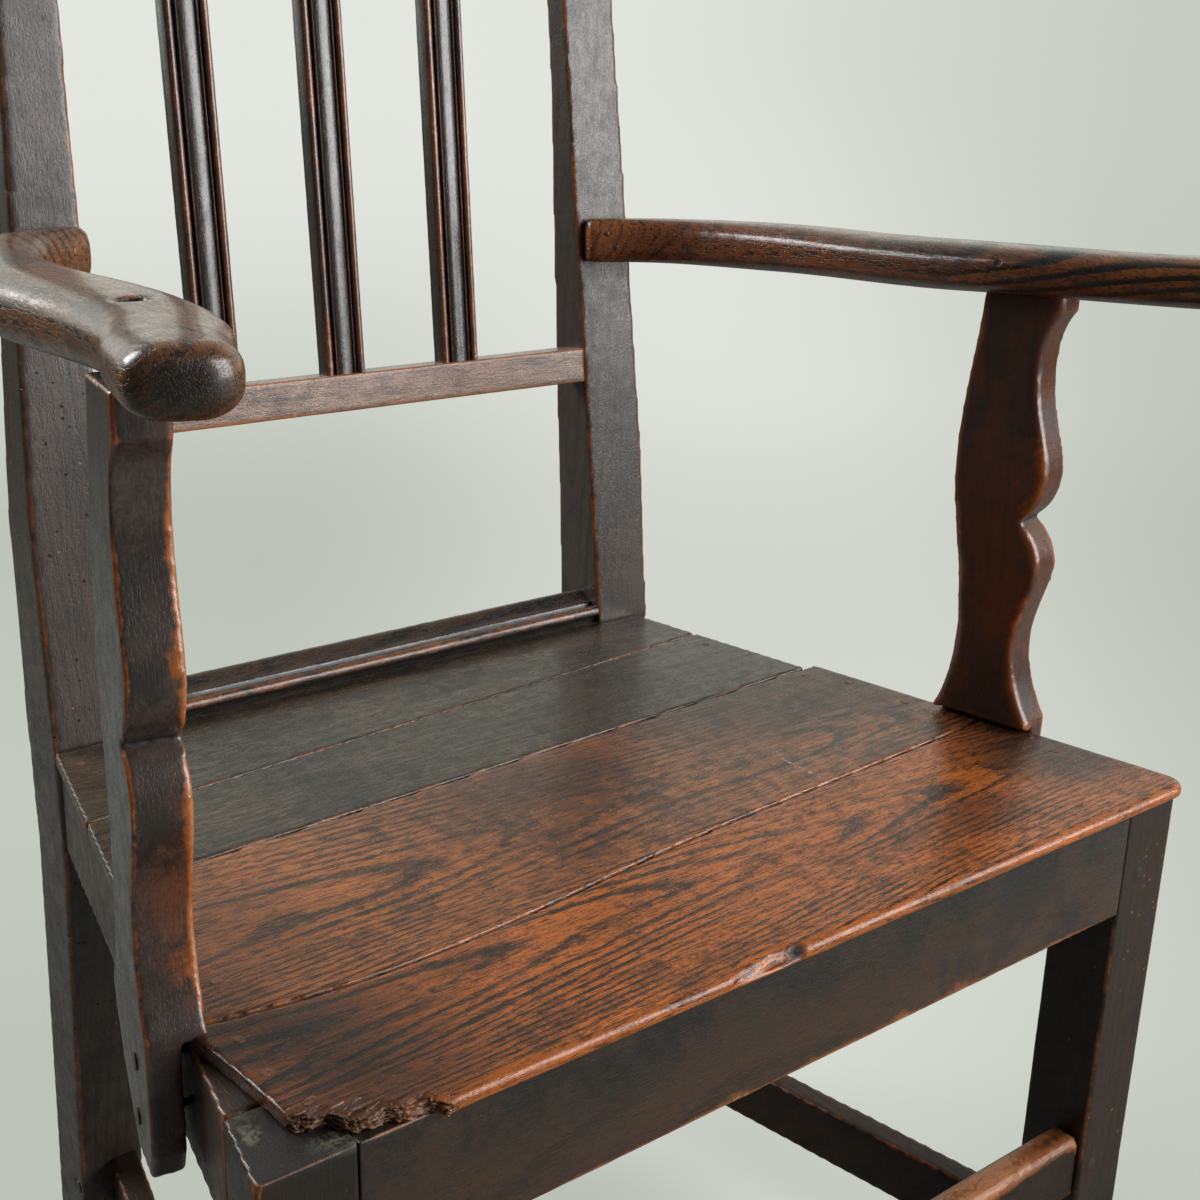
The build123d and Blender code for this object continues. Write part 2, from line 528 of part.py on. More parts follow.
def meets(a, b):
    """Whether the boxes around two shapes overlap."""
    a, b = a.bounding_box(), b.bounding_box()
    return all((a.min.X < b.max.X, b.min.X < a.max.X, a.min.Y < b.max.Y, b.min.Y < a.max.Y,
                a.min.Z < b.max.Z, b.min.Z < a.max.Z))


holes = [pin for group in fasteners.values() for pin in group] + [mirrored(arm_top_pegs["left"])]
for name, piece in pieces.items():
    for pin in holes:
        if meets(piece, pin):
            piece = piece - pin
    pieces[name] = biggest(piece)

# ---- one file for each piece ------------------------------------------------------------------------
os.makedirs("parts", exist_ok=True)
to_origin = Pos(0, -chair_middle, 0)
for name, piece in pieces.items():
    export_step(to_origin * piece, f"parts/{name}.step")
for name, group in fasteners.items():
    moved = [to_origin * pin for pin in group]
    export_step(moved[0] if len(moved) == 1 else Compound(children=moved), f"parts/{name}.step")
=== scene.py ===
from math import cos, pi, radians, sin

import bpy
import numpy as np
from mathutils import Matrix, Vector


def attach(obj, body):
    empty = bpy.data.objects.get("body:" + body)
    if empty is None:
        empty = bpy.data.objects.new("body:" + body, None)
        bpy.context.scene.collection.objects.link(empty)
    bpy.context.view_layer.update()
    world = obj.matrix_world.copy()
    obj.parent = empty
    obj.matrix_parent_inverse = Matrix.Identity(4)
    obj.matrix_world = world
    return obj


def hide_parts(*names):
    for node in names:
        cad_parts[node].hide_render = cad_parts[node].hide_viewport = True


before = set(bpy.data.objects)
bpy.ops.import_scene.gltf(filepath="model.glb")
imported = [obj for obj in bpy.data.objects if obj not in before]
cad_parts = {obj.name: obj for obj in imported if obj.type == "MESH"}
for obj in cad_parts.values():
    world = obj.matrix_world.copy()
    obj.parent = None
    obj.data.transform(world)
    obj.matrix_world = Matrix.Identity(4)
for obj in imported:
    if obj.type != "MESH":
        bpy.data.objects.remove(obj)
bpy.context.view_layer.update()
bpy.ops.object.select_all(action="DESELECT")
scene = bpy.context.scene


# ------------------------------------------------------------
# Back posts. Each is one long piece of oak, rear leg and back upright in one, sawn to the rake.
# Long waxing and leaning have rounded the arrises and worn them through to the bare wood in
# places; the faces keep a dark, faintly pitted skin of wax.
# ------------------------------------------------------------
class Value:
    """A number that changes over a surface, used like a number in the sums of a finish."""

    def __init__(self, finish, socket):
        self.finish, self.socket = finish, socket

    def sum_of(self, operation, first, second):
        return self.finish.node("Math", {"operation": operation}, {0: first, 1: second})

    def __add__(self, other):
        return self.sum_of("ADD", self, other)

    def __sub__(self, other):
        return self.sum_of("SUBTRACT", self, other)

    def __rsub__(self, other):
        return self.sum_of("SUBTRACT", other, self)

    def __mul__(self, other):
        return self.sum_of("MULTIPLY", self, other)

    def __or__(self, other):
        return self.sum_of("MAXIMUM", self, other)

    __radd__ = __add__
    __rmul__ = __mul__

    def beside(self, name):
        """Another output of the node that gave this value."""
        return Value(self.finish, self.socket.node.outputs[name])


class Finish:
    """A material, or the light of a room, put together node by node."""

    def __init__(self, name, tree=None):
        if tree is None:
            self.material = bpy.data.materials.new(name)
            self.material.use_nodes = True
            tree = self.material.node_tree
            self.shader = tree.nodes["Principled BSDF"]
        self.tree = tree

    def node(self, kind, settings=None, sockets=None, output=0):
        """Adds a node, sets it, sets or links its inputs, and gives one of its outputs."""
        made = self.tree.nodes.new("ShaderNode" + kind)
        for key, setting in (settings or {}).items():
            setattr(made, key, setting)
        for key, value in (sockets or {}).items():
            if isinstance(value, Value):
                self.tree.links.new(value.socket, made.inputs[key])
            else:
                made.inputs[key].default_value = value
        return Value(self, made.outputs[output])

    def vector(self, operation, *terms):
        """A sum with vectors, which gives a vector, or for a length or dot product a number."""
        return self.node("VectorMath", {"operation": operation}, dict(enumerate(terms)),
                         output=1 if operation in ("LENGTH", "DOT_PRODUCT") else 0)

    def noise(self, place, scale, detail=3.0, roughness=0.55):
        """Cloudy noise, mostly between 0.3 and 0.7."""
        return self.node("TexNoise", {"noise_dimensions": "3D"},
                         {"Vector": place, "Scale": scale, "Detail": detail,
                          "Roughness": roughness})

    def spread(self, value, low, high, start=0.0, end=1.0):
        """The value eased from one range to another, and held at both ends."""
        return self.node("MapRange", {"interpolation_type": "SMOOTHSTEP"},
                         {"Value": value, "From Min": low, "From Max": high, "To Min": start,
                          "To Max": end})

    def mix(self, share, first, second):
        """Two colours mixed by a share."""
        first, second = ((*colour, 1.0) if isinstance(colour, tuple) else colour
                         for colour in (first, second))
        return self.node("Mix", {"data_type": "RGBA"}, {0: share, 6: first, 7: second},
                         output=2)

    def near(self, place, centre, reach):
        """1 at a spot, fading to 0 at a distance from it along each axis."""
        apart = self.vector("DIVIDE", self.vector("SUBTRACT", place, centre), reach)
        return 1.0 - self.spread(self.vector("LENGTH", apart), 0.3, 1.0)

    def set(self, **sockets):
        """Sets or links inputs of the surface."""
        for name, value in sockets.items():
            socket = self.shader.inputs[name.replace("_", " ")]
            if isinstance(value, Value):
                self.tree.links.new(value.socket, socket)
            else:
                socket.default_value = value

    def over(self, share, colour):
        """Lays one more colour over the finished surface."""
        under = Value(self, self.shader.inputs["Base Color"].links[0].from_socket)
        self.set(Base_Color=self.mix(share, under, colour))


class OldWood(Finish):
    """Old oak or elm: rings and pores, a skin of dirt and wax, and arrises worn bare."""

    TURN = {"X": (0, 0, 0), "Y": (0, 0, radians(-90)), "Z": (0, radians(90), 0)}

    def __init__(self, name, grain, seed, heart=(0.3, 0.3), ring=0.005, drift=0.02, wander=0.010):
        super().__init__(name)
        self.place = self.node("TexCoord", output=3)
        along = self.node("Mapping", sockets={"Vector": self.place, "Rotation": self.TURN[grain]})
        own = self.own = self.node("Mapping", sockets={
            "Vector": along, "Location": (seed * 1.73, seed * 0.61, seed * 2.17)})
        # growth rings: distance from the heart of the tree, wandering along the length
        parts = self.node("SeparateXYZ", sockets={"Vector": along})
        length, side, deep = (parts.beside(axis) for axis in "XYZ")
        side, deep = side - heart[0], deep - heart[1]
        radius = self.node("Math", {"operation": "SQRT"}, {0: side * side + deep * deep})
        radius = (radius + length * drift + (self.drawn(2.5, 11) - 0.5) * (wander * 2)
                  + (self.drawn(14, 70) - 0.5) * 0.0020)
        turn = self.node("Math", {"operation": "FRACT"}, {0: radius * (1.0 / ring)})
        line = self.spread(turn, 0.0, 0.12) * (1.0 - self.spread(turn, 0.20, 0.62))
        self.line = line * self.spread(self.drawn(7, 30), 0.36, 0.62, 0.30, 1.0)
        # the fibres and the open pores that run with the grain, thickest along each ring
        self.streak = self.drawn(11, 330, 4.0, 0.65)
        self.pore = self.spread(self.drawn(110, 1050) + self.line * 0.16, 0.53, 0.62)
        # the skin of wax and dirt
        self.cloud = self.noise(own, 9.0, 4.0, 0.6)
        self.dapple = self.noise(own, 95.0, 3.0)
        self.peel = self.noise(own, 700.0, 3.0, 0.65)
        # where the piece stands out it is worn, and where it is hollow it is painted near black,
        # for dirt and painted shade
        self.edge = self.node("Attribute", {"attribute_name": "edge"}, output=2)
        self.swell = self.node("Attribute", {"attribute_name": "swell"}, output=2)
        self.rag = self.noise(own, 260.0, 4.0, 0.7) - 0.5
        self.patch = self.noise(own, 24.0, 4.0, 0.6) - 0.5

    def drawn(self, along, across, detail=2.0, roughness=0.5):
        """Noise drawn out along the grain."""
        place = self.node("Mapping", sockets={"Vector": self.own,
                                              "Scale": (along, across, across)})
        return self.noise(place, 1.0, detail, roughness)

    def spot(self, centre, reach):
        """1 at a place on the chair, fading to 0 at a distance from it along each axis."""
        return self.near(self.place, centre, reach)

    def spots(self, *spots):
        """The strongest of some spots, each given by its centre, its reach and its share."""
        strongest = None
        for centre, reach, share in spots:
            spot = self.spot(centre, reach) * share
            strongest = spot if strongest is None else strongest | spot
        return strongest

    def specks(self, scale, size, share):
        """Small spots scattered through the wood: worm holes, nicks and flecks of bare wood."""
        far = self.node("TexVoronoi", {"feature": "F1"}, {"Vector": self.own, "Scale": scale})
        ragged = far + (self.noise(self.own, scale * 3.0, 3.0, 0.7) - 0.5) * (size * 2.4)
        chosen = self.node("SeparateColor", sockets={0: far.beside("Color")})
        return (1.0 - self.spread(ragged, size * 0.6, size)) * self.spread(
            chosen, 1.0 - share, 1.0 - share + 0.02)

    def colours(self, light, dark, worn, bare=(0.42, 0.19, 0.085), skin=(0.014, 0.012, 0.010),
                figure=0.5, fibre=0.5, pores=0.6, clouds=0.6, warm=None, wear=1.0, extra=None,
                darkening=None, fresh=None, holes=None, flecks=None, sheen=0.32, pitted=1.0,
                coat=0.2, gloss=0.20, shine=0.5):
        """Lays on the colours, from the wood outwards to the wax.

        Figure, fibre, pores, clouds and wear say how strongly each of these shows. Extra is more
        wear, darkening is more dark skin, mostly dirt and in places a painted reflection, and
        fresh is newly broken wood."""
        rub = self.edge * wear + self.rag * 0.7 + self.patch * 1.5
        if extra is not None:
            rub = rub + extra
        thin = self.spread(rub, 0.50, 0.90)
        through = self.spread(rub + self.rag * 0.6, 0.95, 1.20)
        tone = (self.line * figure + (self.streak - 0.5) * (fibre * 2.0)
                + (self.dapple - 0.5) * 0.7 + (self.peel - 0.5) * 1.1)
        colour = self.mix(self.spread(tone, -0.25, 0.75), light, dark)
        colour = self.mix(self.pore * pores, colour, skin)
        dark_skin = self.spread(self.cloud + self.patch * 0.6 + (self.dapple - 0.5) * 0.45
                            + (self.peel - 0.5) * 0.35, 0.45, 0.70) * clouds
        # darkening: dirt, and in places a painted dark reflection
        if darkening is not None:
            dark_skin = dark_skin | (darkening * self.spread(self.cloud + self.streak * 0.5, 0.45, 0.85,
                                                 0.70, 1.0))
        if warm is not None:
            rosy = self.swell + self.patch * 1.4 + (self.dapple - 0.5) * 0.5
            colour = self.mix(self.spread(rosy, 0.25, 0.80), colour, warm)
            dark_skin = dark_skin * (1.0 - self.spread(rosy, 0.25, 0.80) * 0.7)
        colour = self.mix(dark_skin * (1.0 - thin * 0.8), colour, skin)
        colour = self.mix(thin * 0.85, colour, worn)
        colour = self.mix(through * (1.0 - self.pore * 0.4) * 0.8, colour, bare)
        # painted shade and dirt: the hollows are painted near black
        hollow = self.spread(self.edge * -1.0 + self.rag * 0.3, 0.18, 0.55)
        colour = self.mix(hollow * 0.9, colour, (0.006, 0.005, 0.004))
        height = ((self.streak - 0.5) * (fibre * 0.16) - self.pore * (pores * 0.10)
                  + self.peel * (0.14 * pitted) + self.dapple * 0.16 + self.rag * thin * 0.20)
        rough = (sheen + (self.dapple - 0.5) * 0.40 + (self.peel - 0.5) * 0.50
                 + (self.streak - 0.5) * (fibre * 0.30) + dark_skin * 0.05 + hollow * 0.35
                 - thin * 0.06)
        if flecks is not None:
            colour = self.mix(flecks * 0.85, colour, worn)
            height = height - flecks * 0.10
        if fresh is not None:
            straw = self.mix(self.spread(self.drawn(60, 900) + self.rag * 0.7, 0.38, 0.62),
                             (0.24, 0.125, 0.055), (0.030, 0.014, 0.008))
            colour = self.mix(fresh, colour, straw)
            rough = rough + fresh * 0.35
        if holes is not None:
            colour = self.mix(holes, colour, (0.002, 0.0015, 0.001))
            height = height - holes * 0.8
            rough = rough + holes * 0.4
        bump = self.node("Bump", sockets={"Strength": 0.9, "Distance": 0.001, "Height": height})
        self.set(Base_Color=colour, Roughness=rough, Normal=bump, Coat_Weight=coat,
                 Coat_Roughness=gloss, Specular_IOR_Level=shine)
        return self.material


def bring(name, data):
    """Brings a new object into the scene."""
    made = bpy.data.objects.new(name, data)
    scene.collection.objects.link(made)
    return made


def edit_nothing():
    """Takes the selected pieces into edit mode and out again with nothing chosen on them."""
    bpy.ops.object.mode_set(mode="EDIT")
    bpy.ops.mesh.select_all(action="DESELECT")
    bpy.ops.object.mode_set(mode="OBJECT")


def blank(node, pegs=None):
    """A free copy of a solid with its loose triangles joined, and its peg holes filled."""
    bpy.ops.object.select_all(action="DESELECT")
    for name in (pegs or []) + [node]:
        piece = bring("old_" + name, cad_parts[name].data.copy())
        piece.select_set(True)
        bpy.context.view_layer.objects.active = piece
    if pegs:
        # the pegs on the other side of the chair aren't in this piece
        side = -1 if node.startswith("left") else 1
        edit_nothing()
        for part in bpy.context.selected_objects:
            for point in part.data.vertices:
                point.select = point.co.x * side < 0
        bpy.ops.object.mode_set(mode="EDIT")
        bpy.ops.mesh.delete(type="VERT")
        bpy.ops.object.mode_set(mode="OBJECT")
        bpy.ops.object.join()
    bpy.ops.object.mode_set(mode="EDIT")
    bpy.ops.mesh.select_all(action="SELECT")
    bpy.ops.mesh.remove_doubles(threshold=1e-6)
    bpy.ops.object.mode_set(mode="OBJECT")
    return piece


def apply(piece, kind, **settings):
    """Puts a modifier on the piece and applies it."""
    modifier = piece.modifiers.new(kind.lower(), kind)
    for key, value in settings.items():
        setattr(modifier, key, value)
    bpy.ops.object.modifier_apply(modifier=modifier.name)


def points_of(piece, kind="co"):
    """The places or the normals of a mesh's points, a row each."""
    values = np.empty(len(piece.data.vertices) * 3)
    piece.data.vertices.foreach_get(kind, values)
    return values.reshape(-1, 3)


def spreader(piece):
    """A function that averages a value at each point over the points beside it."""
    count = len(piece.data.vertices)
    pairs = np.empty(len(piece.data.edges) * 2, dtype=np.int64)
    piece.data.edges.foreach_get("vertices", pairs)
    first, second = pairs.reshape(-1, 2).T
    near = np.maximum(np.bincount(first, minlength=count)
                      + np.bincount(second, minlength=count), 1)
    return lambda values: (np.bincount(first, values[second], count)
                           + np.bincount(second, values[first], count)) / near


def within(points, boxes):
    """Which points lie in any of the boxes, each given by two corners in millimetres."""
    inside = np.zeros(len(points), dtype=bool)
    for low, high in boxes:
        low, high = np.array(low) / 1000, np.array(high) / 1000
        inside |= ((points > low) & (points < high)).all(1)
    return inside


def feel_edges(piece, shut=()):
    """Notes at each point how far the surface stands out, 1 on an arris, or below 0 is hollow."""
    points, normals, around = points_of(piece), points_of(piece, "normal"), spreader(piece)
    middle = np.stack([around(points[:, axis]) for axis in range(3)], 1)
    bend = ((points - middle) * normals).sum(1)
    bend[within(points, shut)] = 0
    for name, reach in (("edge", 2), ("swell", 16)):
        for _ in range(reach):
            bend = 0.5 * bend + 0.5 * around(bend)
        bend = np.clip(bend / np.percentile(bend, 99.0), -1.0, 1.0)
        piece.data.attributes.new(name, "FLOAT", "POINT").data.foreach_set("value", bend)
        if name == "edge":
            edge = bend
    return edge


def mark(piece, name, share):
    """A vertex group with a share at each point, in ten steps."""
    group = piece.vertex_groups.new(name=name)
    for level in range(1, 11):
        on = np.nonzero(np.round(share * 10) == level)[0]
        group.add(on.tolist(), level / 10, "REPLACE")
    return group.name


def clouds(name, size):
    """A cloudy unevenness of a given size."""
    texture = bpy.data.textures.new(name, "CLOUDS")
    texture.noise_scale = size
    texture.noise_depth = 2
    return texture


planed = clouds("planed_by_hand", 0.060)
knocks = clouds("knocks", 0.007)


def age(piece, voxel=0.0016, soften=4, uneven=0.0004, knocked=0.0003, shut=(), rubbed=()):
    """Wears a sawn piece: round arrises, faces that are not quite flat, and small knocks.

    Shut boxes are joints, where the edges stay sharp. Rubbed is a list of arrises worn rounder,
    each by the way it faces, how far the wear reaches and how deep it is."""
    apply(piece, "REMESH", mode="VOXEL", voxel_size=voxel)
    free = mark(piece, "free", 1.0 - within(points_of(piece), shut))
    apply(piece, "SMOOTH", factor=0.5, iterations=soften, vertex_group=free)
    for facing, reach, depth in rubbed:
        share = (points_of(piece, "normal") @ np.array(facing) > 0.80).astype(float)
        around = spreader(piece)
        for _ in range(reach):
            share = np.minimum(around(share) * 1.6, 1.0)
        worn = mark(piece, "rubbed", share)
        apply(piece, "SMOOTH", factor=0.5, iterations=depth, vertex_group=worn)
    bend = feel_edges(piece, shut)
    arris = mark(piece, "arris", np.clip(bend * 1.6 - 0.6, 0, 1))
    apply(piece, "DISPLACE", texture=knocks, texture_coords="GLOBAL", vertex_group=arris,
          strength=knocked, mid_level=0.75)
    apply(piece, "DISPLACE", texture=planed, texture_coords="GLOBAL", strength=uneven,
          mid_level=0.5)
    piece.vertex_groups.clear()
    piece.data.shade_smooth()
    return piece


def fit(piece, node, material):
    """Gives the piece its finish and sets it in the place of its solid."""
    piece.data.materials.clear()
    piece.data.materials.append(material)
    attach(piece, "root")
    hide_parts(node)


for side, seed, heart in (("left", 3.1, (0.12, 0.30)), ("right", 5.4, (0.10, -0.28))):
    node = side + "_back_post"
    post = age(blank(node, ["back_post_pegs", "back_rail_pegs"]), uneven=0.0003, knocked=0.0002,
               rubbed=[((-0.7, -0.7, 0), 2, 8)] if side == "left" else ())
    wood = OldWood(node, "Z", seed, heart, ring=0.006)
    worm = None
    flecks = wood.specks(170.0, 0.16, 0.02)
    if side == "left":
        low = wood.spread(wood.spot((-0.2, 0.17, 0.46), (0.07, 0.09, 0.28)), 0.0, 0.2)
        worm = wood.specks(160.0, 0.17, 0.34) * low
        flecks = flecks | (wood.specks(150.0, 0.17, 0.22) * low)
    material = wood.colours((0.070, 0.050, 0.038), (0.020, 0.016, 0.014), (0.27, 0.085, 0.024),
                            figure=0.10, fibre=0.22, pores=0.4, clouds=0.6, holes=worm,
                            flecks=flecks, sheen=0.34, coat=0.15,
                            pitted=1.0 if side == "left" else 1.5)
    fit(post, node, material)

# ------------------------------------------------------------
# Front legs. Square oak, mortised for the seat rails and the stretchers, and cut off level
# under the seat. The one on the left is bare on top where the corner of the seat broke away.
# ------------------------------------------------------------
for side, seed, heart in (("left", 1.2, (0.34, 0.27)), ("right", 2.6, (-0.20, -0.30))):
    node = side + "_front_leg"
    near_x, far_x = (-252, -240) if side == "left" else (240, 252)
    shut = [((near_x, -245, 360), (far_x, -190, 440))]
    leg = age(blank(node, ["front_leg_pegs", "stretcher_pegs"]), shut=shut)
    wood = OldWood(node, "Z", seed, heart, ring=0.005)
    flecks = wood.specks(200.0, 0.22, 0.05)
    flecks = flecks | (wood.specks(230.0, 0.24, 0.16)
                       * wood.spot((0.272, -0.242, 0.355), (0.03, 0.03, 0.07)))
    material = wood.colours((0.036, 0.020, 0.011), (0.011, 0.008, 0.006), (0.24, 0.078, 0.020),
                            figure=0.15, fibre=0.35, pores=0.5, clouds=0.7, flecks=flecks,
                            sheen=0.38, coat=0.0, shine=0.4)
    if side == "left":
        # old dirt on the bare top, with dust in the corners
        wood.over(wood.spot((-0.27, -0.225, 0.436), (0.045, 0.05, 0.010)) * 0.9,
                  (0.020, 0.021, 0.021))
        dust = wood.spots(((-0.277, -0.180, 0.432), (0.018, 0.034, 0.006), 1.0),
                          ((-0.245, -0.233, 0.432), (0.022, 0.013, 0.006), 1.0),
                          ((-0.278, -0.212, 0.432), (0.008, 0.010, 0.006), 1.0))
        dust = dust * wood.spread(wood.patch + wood.rag, -0.14, 0.06)
        wood.over(dust * 0.9, (0.13, 0.13, 0.088))
    fit(leg, node, material)

# ------------------------------------------------------------
# Seat rails. Planed oak boards on edge, tenoned into the legs and posts and pinned there. The
# front one is rubbed bare along its lower arris, and is painted darker along its top, under the
# seat.
# ------------------------------------------------------------
for node, grain, seed in (("front_seat_rail", "X", 7.7), ("rear_seat_rail", "X", 8.3),
                          ("left_side_rail", "Y", 9.1), ("right_side_rail", "Y", 9.9)):
    shut, voxel, darkening, low = [], 0.0020, None, None
    if node == "front_seat_rail":
        shut = [((-260, -245, 360), (-242, -190, 440)), ((242, -245, 360), (260, -190, 440))]
        voxel = 0.0015
    rail = age(blank(node), voxel=voxel, shut=shut)
    wood = OldWood(node, grain, seed, (0.45, 0.41), ring=0.007, wander=0.02)
    if node == "front_seat_rail":
        # the front rail is painted darker along its top, just under the seat
        darkening = (wood.spot((0, -0.242, 0.436), (3.0, 0.05, 0.060))
                 * wood.spread(wood.patch + wood.rag * 0.6, -0.15, 0.12, 0.35, 1.0))
        low = wood.spot((0.04, -0.242, 0.366), (0.30, 0.02, 0.012)) * 0.45
    material = wood.colours((0.066, 0.034, 0.018), (0.014, 0.013, 0.010), (0.23, 0.076, 0.020),
                            figure=0.15, fibre=0.35, pores=0.4, clouds=0.8, darkening=darkening,
                            extra=low, sheen=0.40, coat=0.05,
                            flecks=wood.specks(190.0, 0.16, 0.015))
    fit(rail, node, material)

# ------------------------------------------------------------
# Stretchers. Four lighter oak rails between the legs; feet have worn the top of the front one
# round and down to the bare wood.
# ------------------------------------------------------------
for node, grain, seed in (("front_stretcher", "X", 11.7), ("rear_stretcher", "X", 12.3),
                          ("left_side_stretcher", "Y", 13.1),
                          ("right_side_stretcher", "Y", 14.9)):
    stretcher = age(blank(node), voxel=0.0020, soften=6)
    wood = OldWood(node, grain, seed, (0.4, 0.2), ring=0.006)
    feet = None
    if node == "front_stretcher":
        feet = wood.spot((0.05, -0.23, 0.215), (0.36, 0.035, 0.025))
    material = wood.colours((0.042, 0.021, 0.012), (0.012, 0.008, 0.006), (0.25, 0.078, 0.020),
                            figure=0.2, pores=0.6, extra=feet, sheen=0.38, coat=0.0, shine=0.3)
    fit(stretcher, node, material)

# ------------------------------------------------------------
# Pegs of the frame. Small oak pins driven through the mortises and cut off flush; they have the
# same dark skin as the wood round them and stand a hair above it, because it shrank.
# ------------------------------------------------------------
wood = OldWood("pegs", "Z", 71.0)
peg_finish = wood.colours((0.045, 0.026, 0.017), (0.020, 0.012, 0.009), (0.20, 0.072, 0.026),
                          wear=0.0, sheen=0.38, coat=0.05)
for node in ("front_leg_pegs", "back_post_pegs", "back_rail_pegs", "stretcher_pegs",
             "arm_top_peg"):
    pegs = blank(node)
    bpy.ops.object.mode_set(mode="EDIT")
    bpy.ops.mesh.select_all(action="SELECT")
    bpy.ops.transform.shrink_fatten(value=0.00015)
    bpy.ops.object.mode_set(mode="OBJECT")
    apply(pegs, "BEVEL", width=0.0005, segments=2, limit_method="ANGLE")
    pegs.data.shade_smooth()
    fit(pegs, node, peg_finish)

# ------------------------------------------------------------
# Back rails. The lower one is a plain waxed rail, tenoned between the posts; its pale colour is
# partly its own and partly a painted sheen of the window light. The crest above is sawn to a low
# arch along its top and has kept its dark skin.
# ------------------------------------------------------------
for node, seed, voxel, light, dark in (
        # partly painted sheen: the lower rail's pale colours stand in for the window's reflection
        # on it
        ("lower_back_rail", 41.0, 0.0013, (0.320, 0.188, 0.130), (0.085, 0.054, 0.042)),
        ("crest_rail", 42.4, 0.0018, (0.070, 0.046, 0.034), (0.022, 0.016, 0.013))):
    rail = age(blank(node), voxel=voxel)
    wood = OldWood(node, "X", seed, (0.40, 0.45), ring=0.006)
    left = wood.spot((-0.17, 0.17, 0.612), (0.15, 0.04, 0.018)) * 0.25
    material = wood.colours(light, dark, (0.40, 0.125, 0.034),
                            figure=0.12, fibre=0.45, pores=0.4, clouds=0.35, wear=1.25,
                            extra=left, sheen=0.26, pitted=1.3)
    fit(rail, node, material)

# ------------------------------------------------------------
# Back slats. Three upright oak slats worked with a moulding plane: along each edge a bead, a
# deep quirk and a thin fillet, and a broad round between them. They are shut in the two rails.
# ------------------------------------------------------------
SEAT_TOP = 0.440


def draw_outline(name, points):
    """Draws an outline point by point, across (X) and up (Z), and fills it with one face."""
    bpy.ops.object.select_all(action="DESELECT")
    bpy.ops.mesh.primitive_plane_add(size=0.001)
    piece = bpy.context.object
    piece.name = name
    bpy.ops.object.mode_set(mode="EDIT")
    bpy.ops.mesh.merge(type="CENTER")
    points = [Vector((x, 0, z)) for x, z in points]
    bpy.ops.transform.translate(value=points[0])
    for here, there in zip(points, points[1:]):
        bpy.ops.mesh.extrude_region_move(TRANSFORM_OT_translate={"value": there - here})
    bpy.ops.mesh.select_all(action="SELECT")
    bpy.ops.mesh.edge_face_add()
    return piece


def run_moulding(piece, outline, length, steps, nicks):
    """Draws the outline out into a moulding, and notes its worn and its hollow parts."""
    for _ in range(steps):
        bpy.ops.mesh.extrude_region_move(TRANSFORM_OT_translate={"value": (0, length / steps, 0)})
    bpy.ops.mesh.select_all(action="SELECT")
    bpy.ops.mesh.normals_make_consistent(inside=False)
    bpy.ops.object.mode_set(mode="OBJECT")
    points = points_of(piece)
    outline = np.array(outline)
    nearest = ((points[:, None, 0] - outline[None, :, 0]) ** 2
               + (points[:, None, 2] - outline[None, :, 1]) ** 2).argmin(1)
    for name, share in (("edge", 1.0), ("swell", 0.3)):
        worn = piece.data.attributes.new(name, "FLOAT", "POINT")
        worn.data.foreach_set("value", outline[nearest, 2] * share)
    apply(piece, "DISPLACE", texture=knocks, texture_coords="LOCAL", strength=nicks,
          mid_level=0.7)
    piece.data.shade_smooth()
    bpy.ops.object.select_all(action="DESELECT")
    piece.select_set(True)
    bpy.context.view_layer.objects.active = piece
    bpy.ops.object.shade_smooth_by_angle(angle=radians(42))


BACK_RAKE = 0.084             # how far the back leans back, in radians
POST_FACE = 0.1563            # front of the back posts at the seat
SLATS_OFF_CENTRE = -0.013     # the slats stand a little to the left
SLAT_PITCH = 0.084
SLAT_FOOT = 0.1968            # up the back from the seat, a hair under the lower rail's top
SLAT_LENGTH = 0.3155
back_frame = Matrix.Translation((0, POST_FACE, SEAT_TOP)) @ Matrix.Rotation(-BACK_RAKE, 4, "X")
# half the outline in millimetres: aside from the middle, forward from the face, and how far the
# wood is worn there, or below 0 how dark it is painted, for dirt and painted shade in the quirks
SLAT_HALF = [(0.0, -1.0, 0.10), (2.0, -1.1, 0.10), (3.8, -1.45, 0.05), (4.9, -1.95, -0.3),
             (5.35, -2.3, -0.8), (5.6, -1.8, 0.2), (5.75, -1.15, 0.6), (6.2, -0.85, 0.85),
             (6.7, -1.05, 0.6), (6.95, -1.7, 0.0), (7.05, -3.0, -1.0), (7.4, -3.9, -1.0),
             (8.0, -3.9, -1.0), (8.25, -3.1, -0.9)]
SLAT_HALF += [(10.9 - 2.6 * cos(pi * k / 9), -2.7 + 2.6 * sin(pi * k / 9),
               (0.0, 0.45, 0.75, 0.9, 1.0, 1.0, 0.95, 0.9, 0.7, 0.35)[k]) for k in range(10)]
SLAT_HALF += [(13.5, -5.0, 0.0), (13.5, -11.8, 0.3), (12.6, -12.9, 0.6), (11.0, -13.0, 0.0)]
slat_outline = [(x / 1000, z / 1000, worn) for x, z, worn in SLAT_HALF]
slat_outline += [(-x, z, worn) for x, z, worn in reversed(slat_outline[1:])]
slat_blank = draw_outline("slat_blank", [(x, z) for x, z, worn in slat_outline])
run_moulding(slat_blank, slat_outline, SLAT_LENGTH, 72, 0.00035)
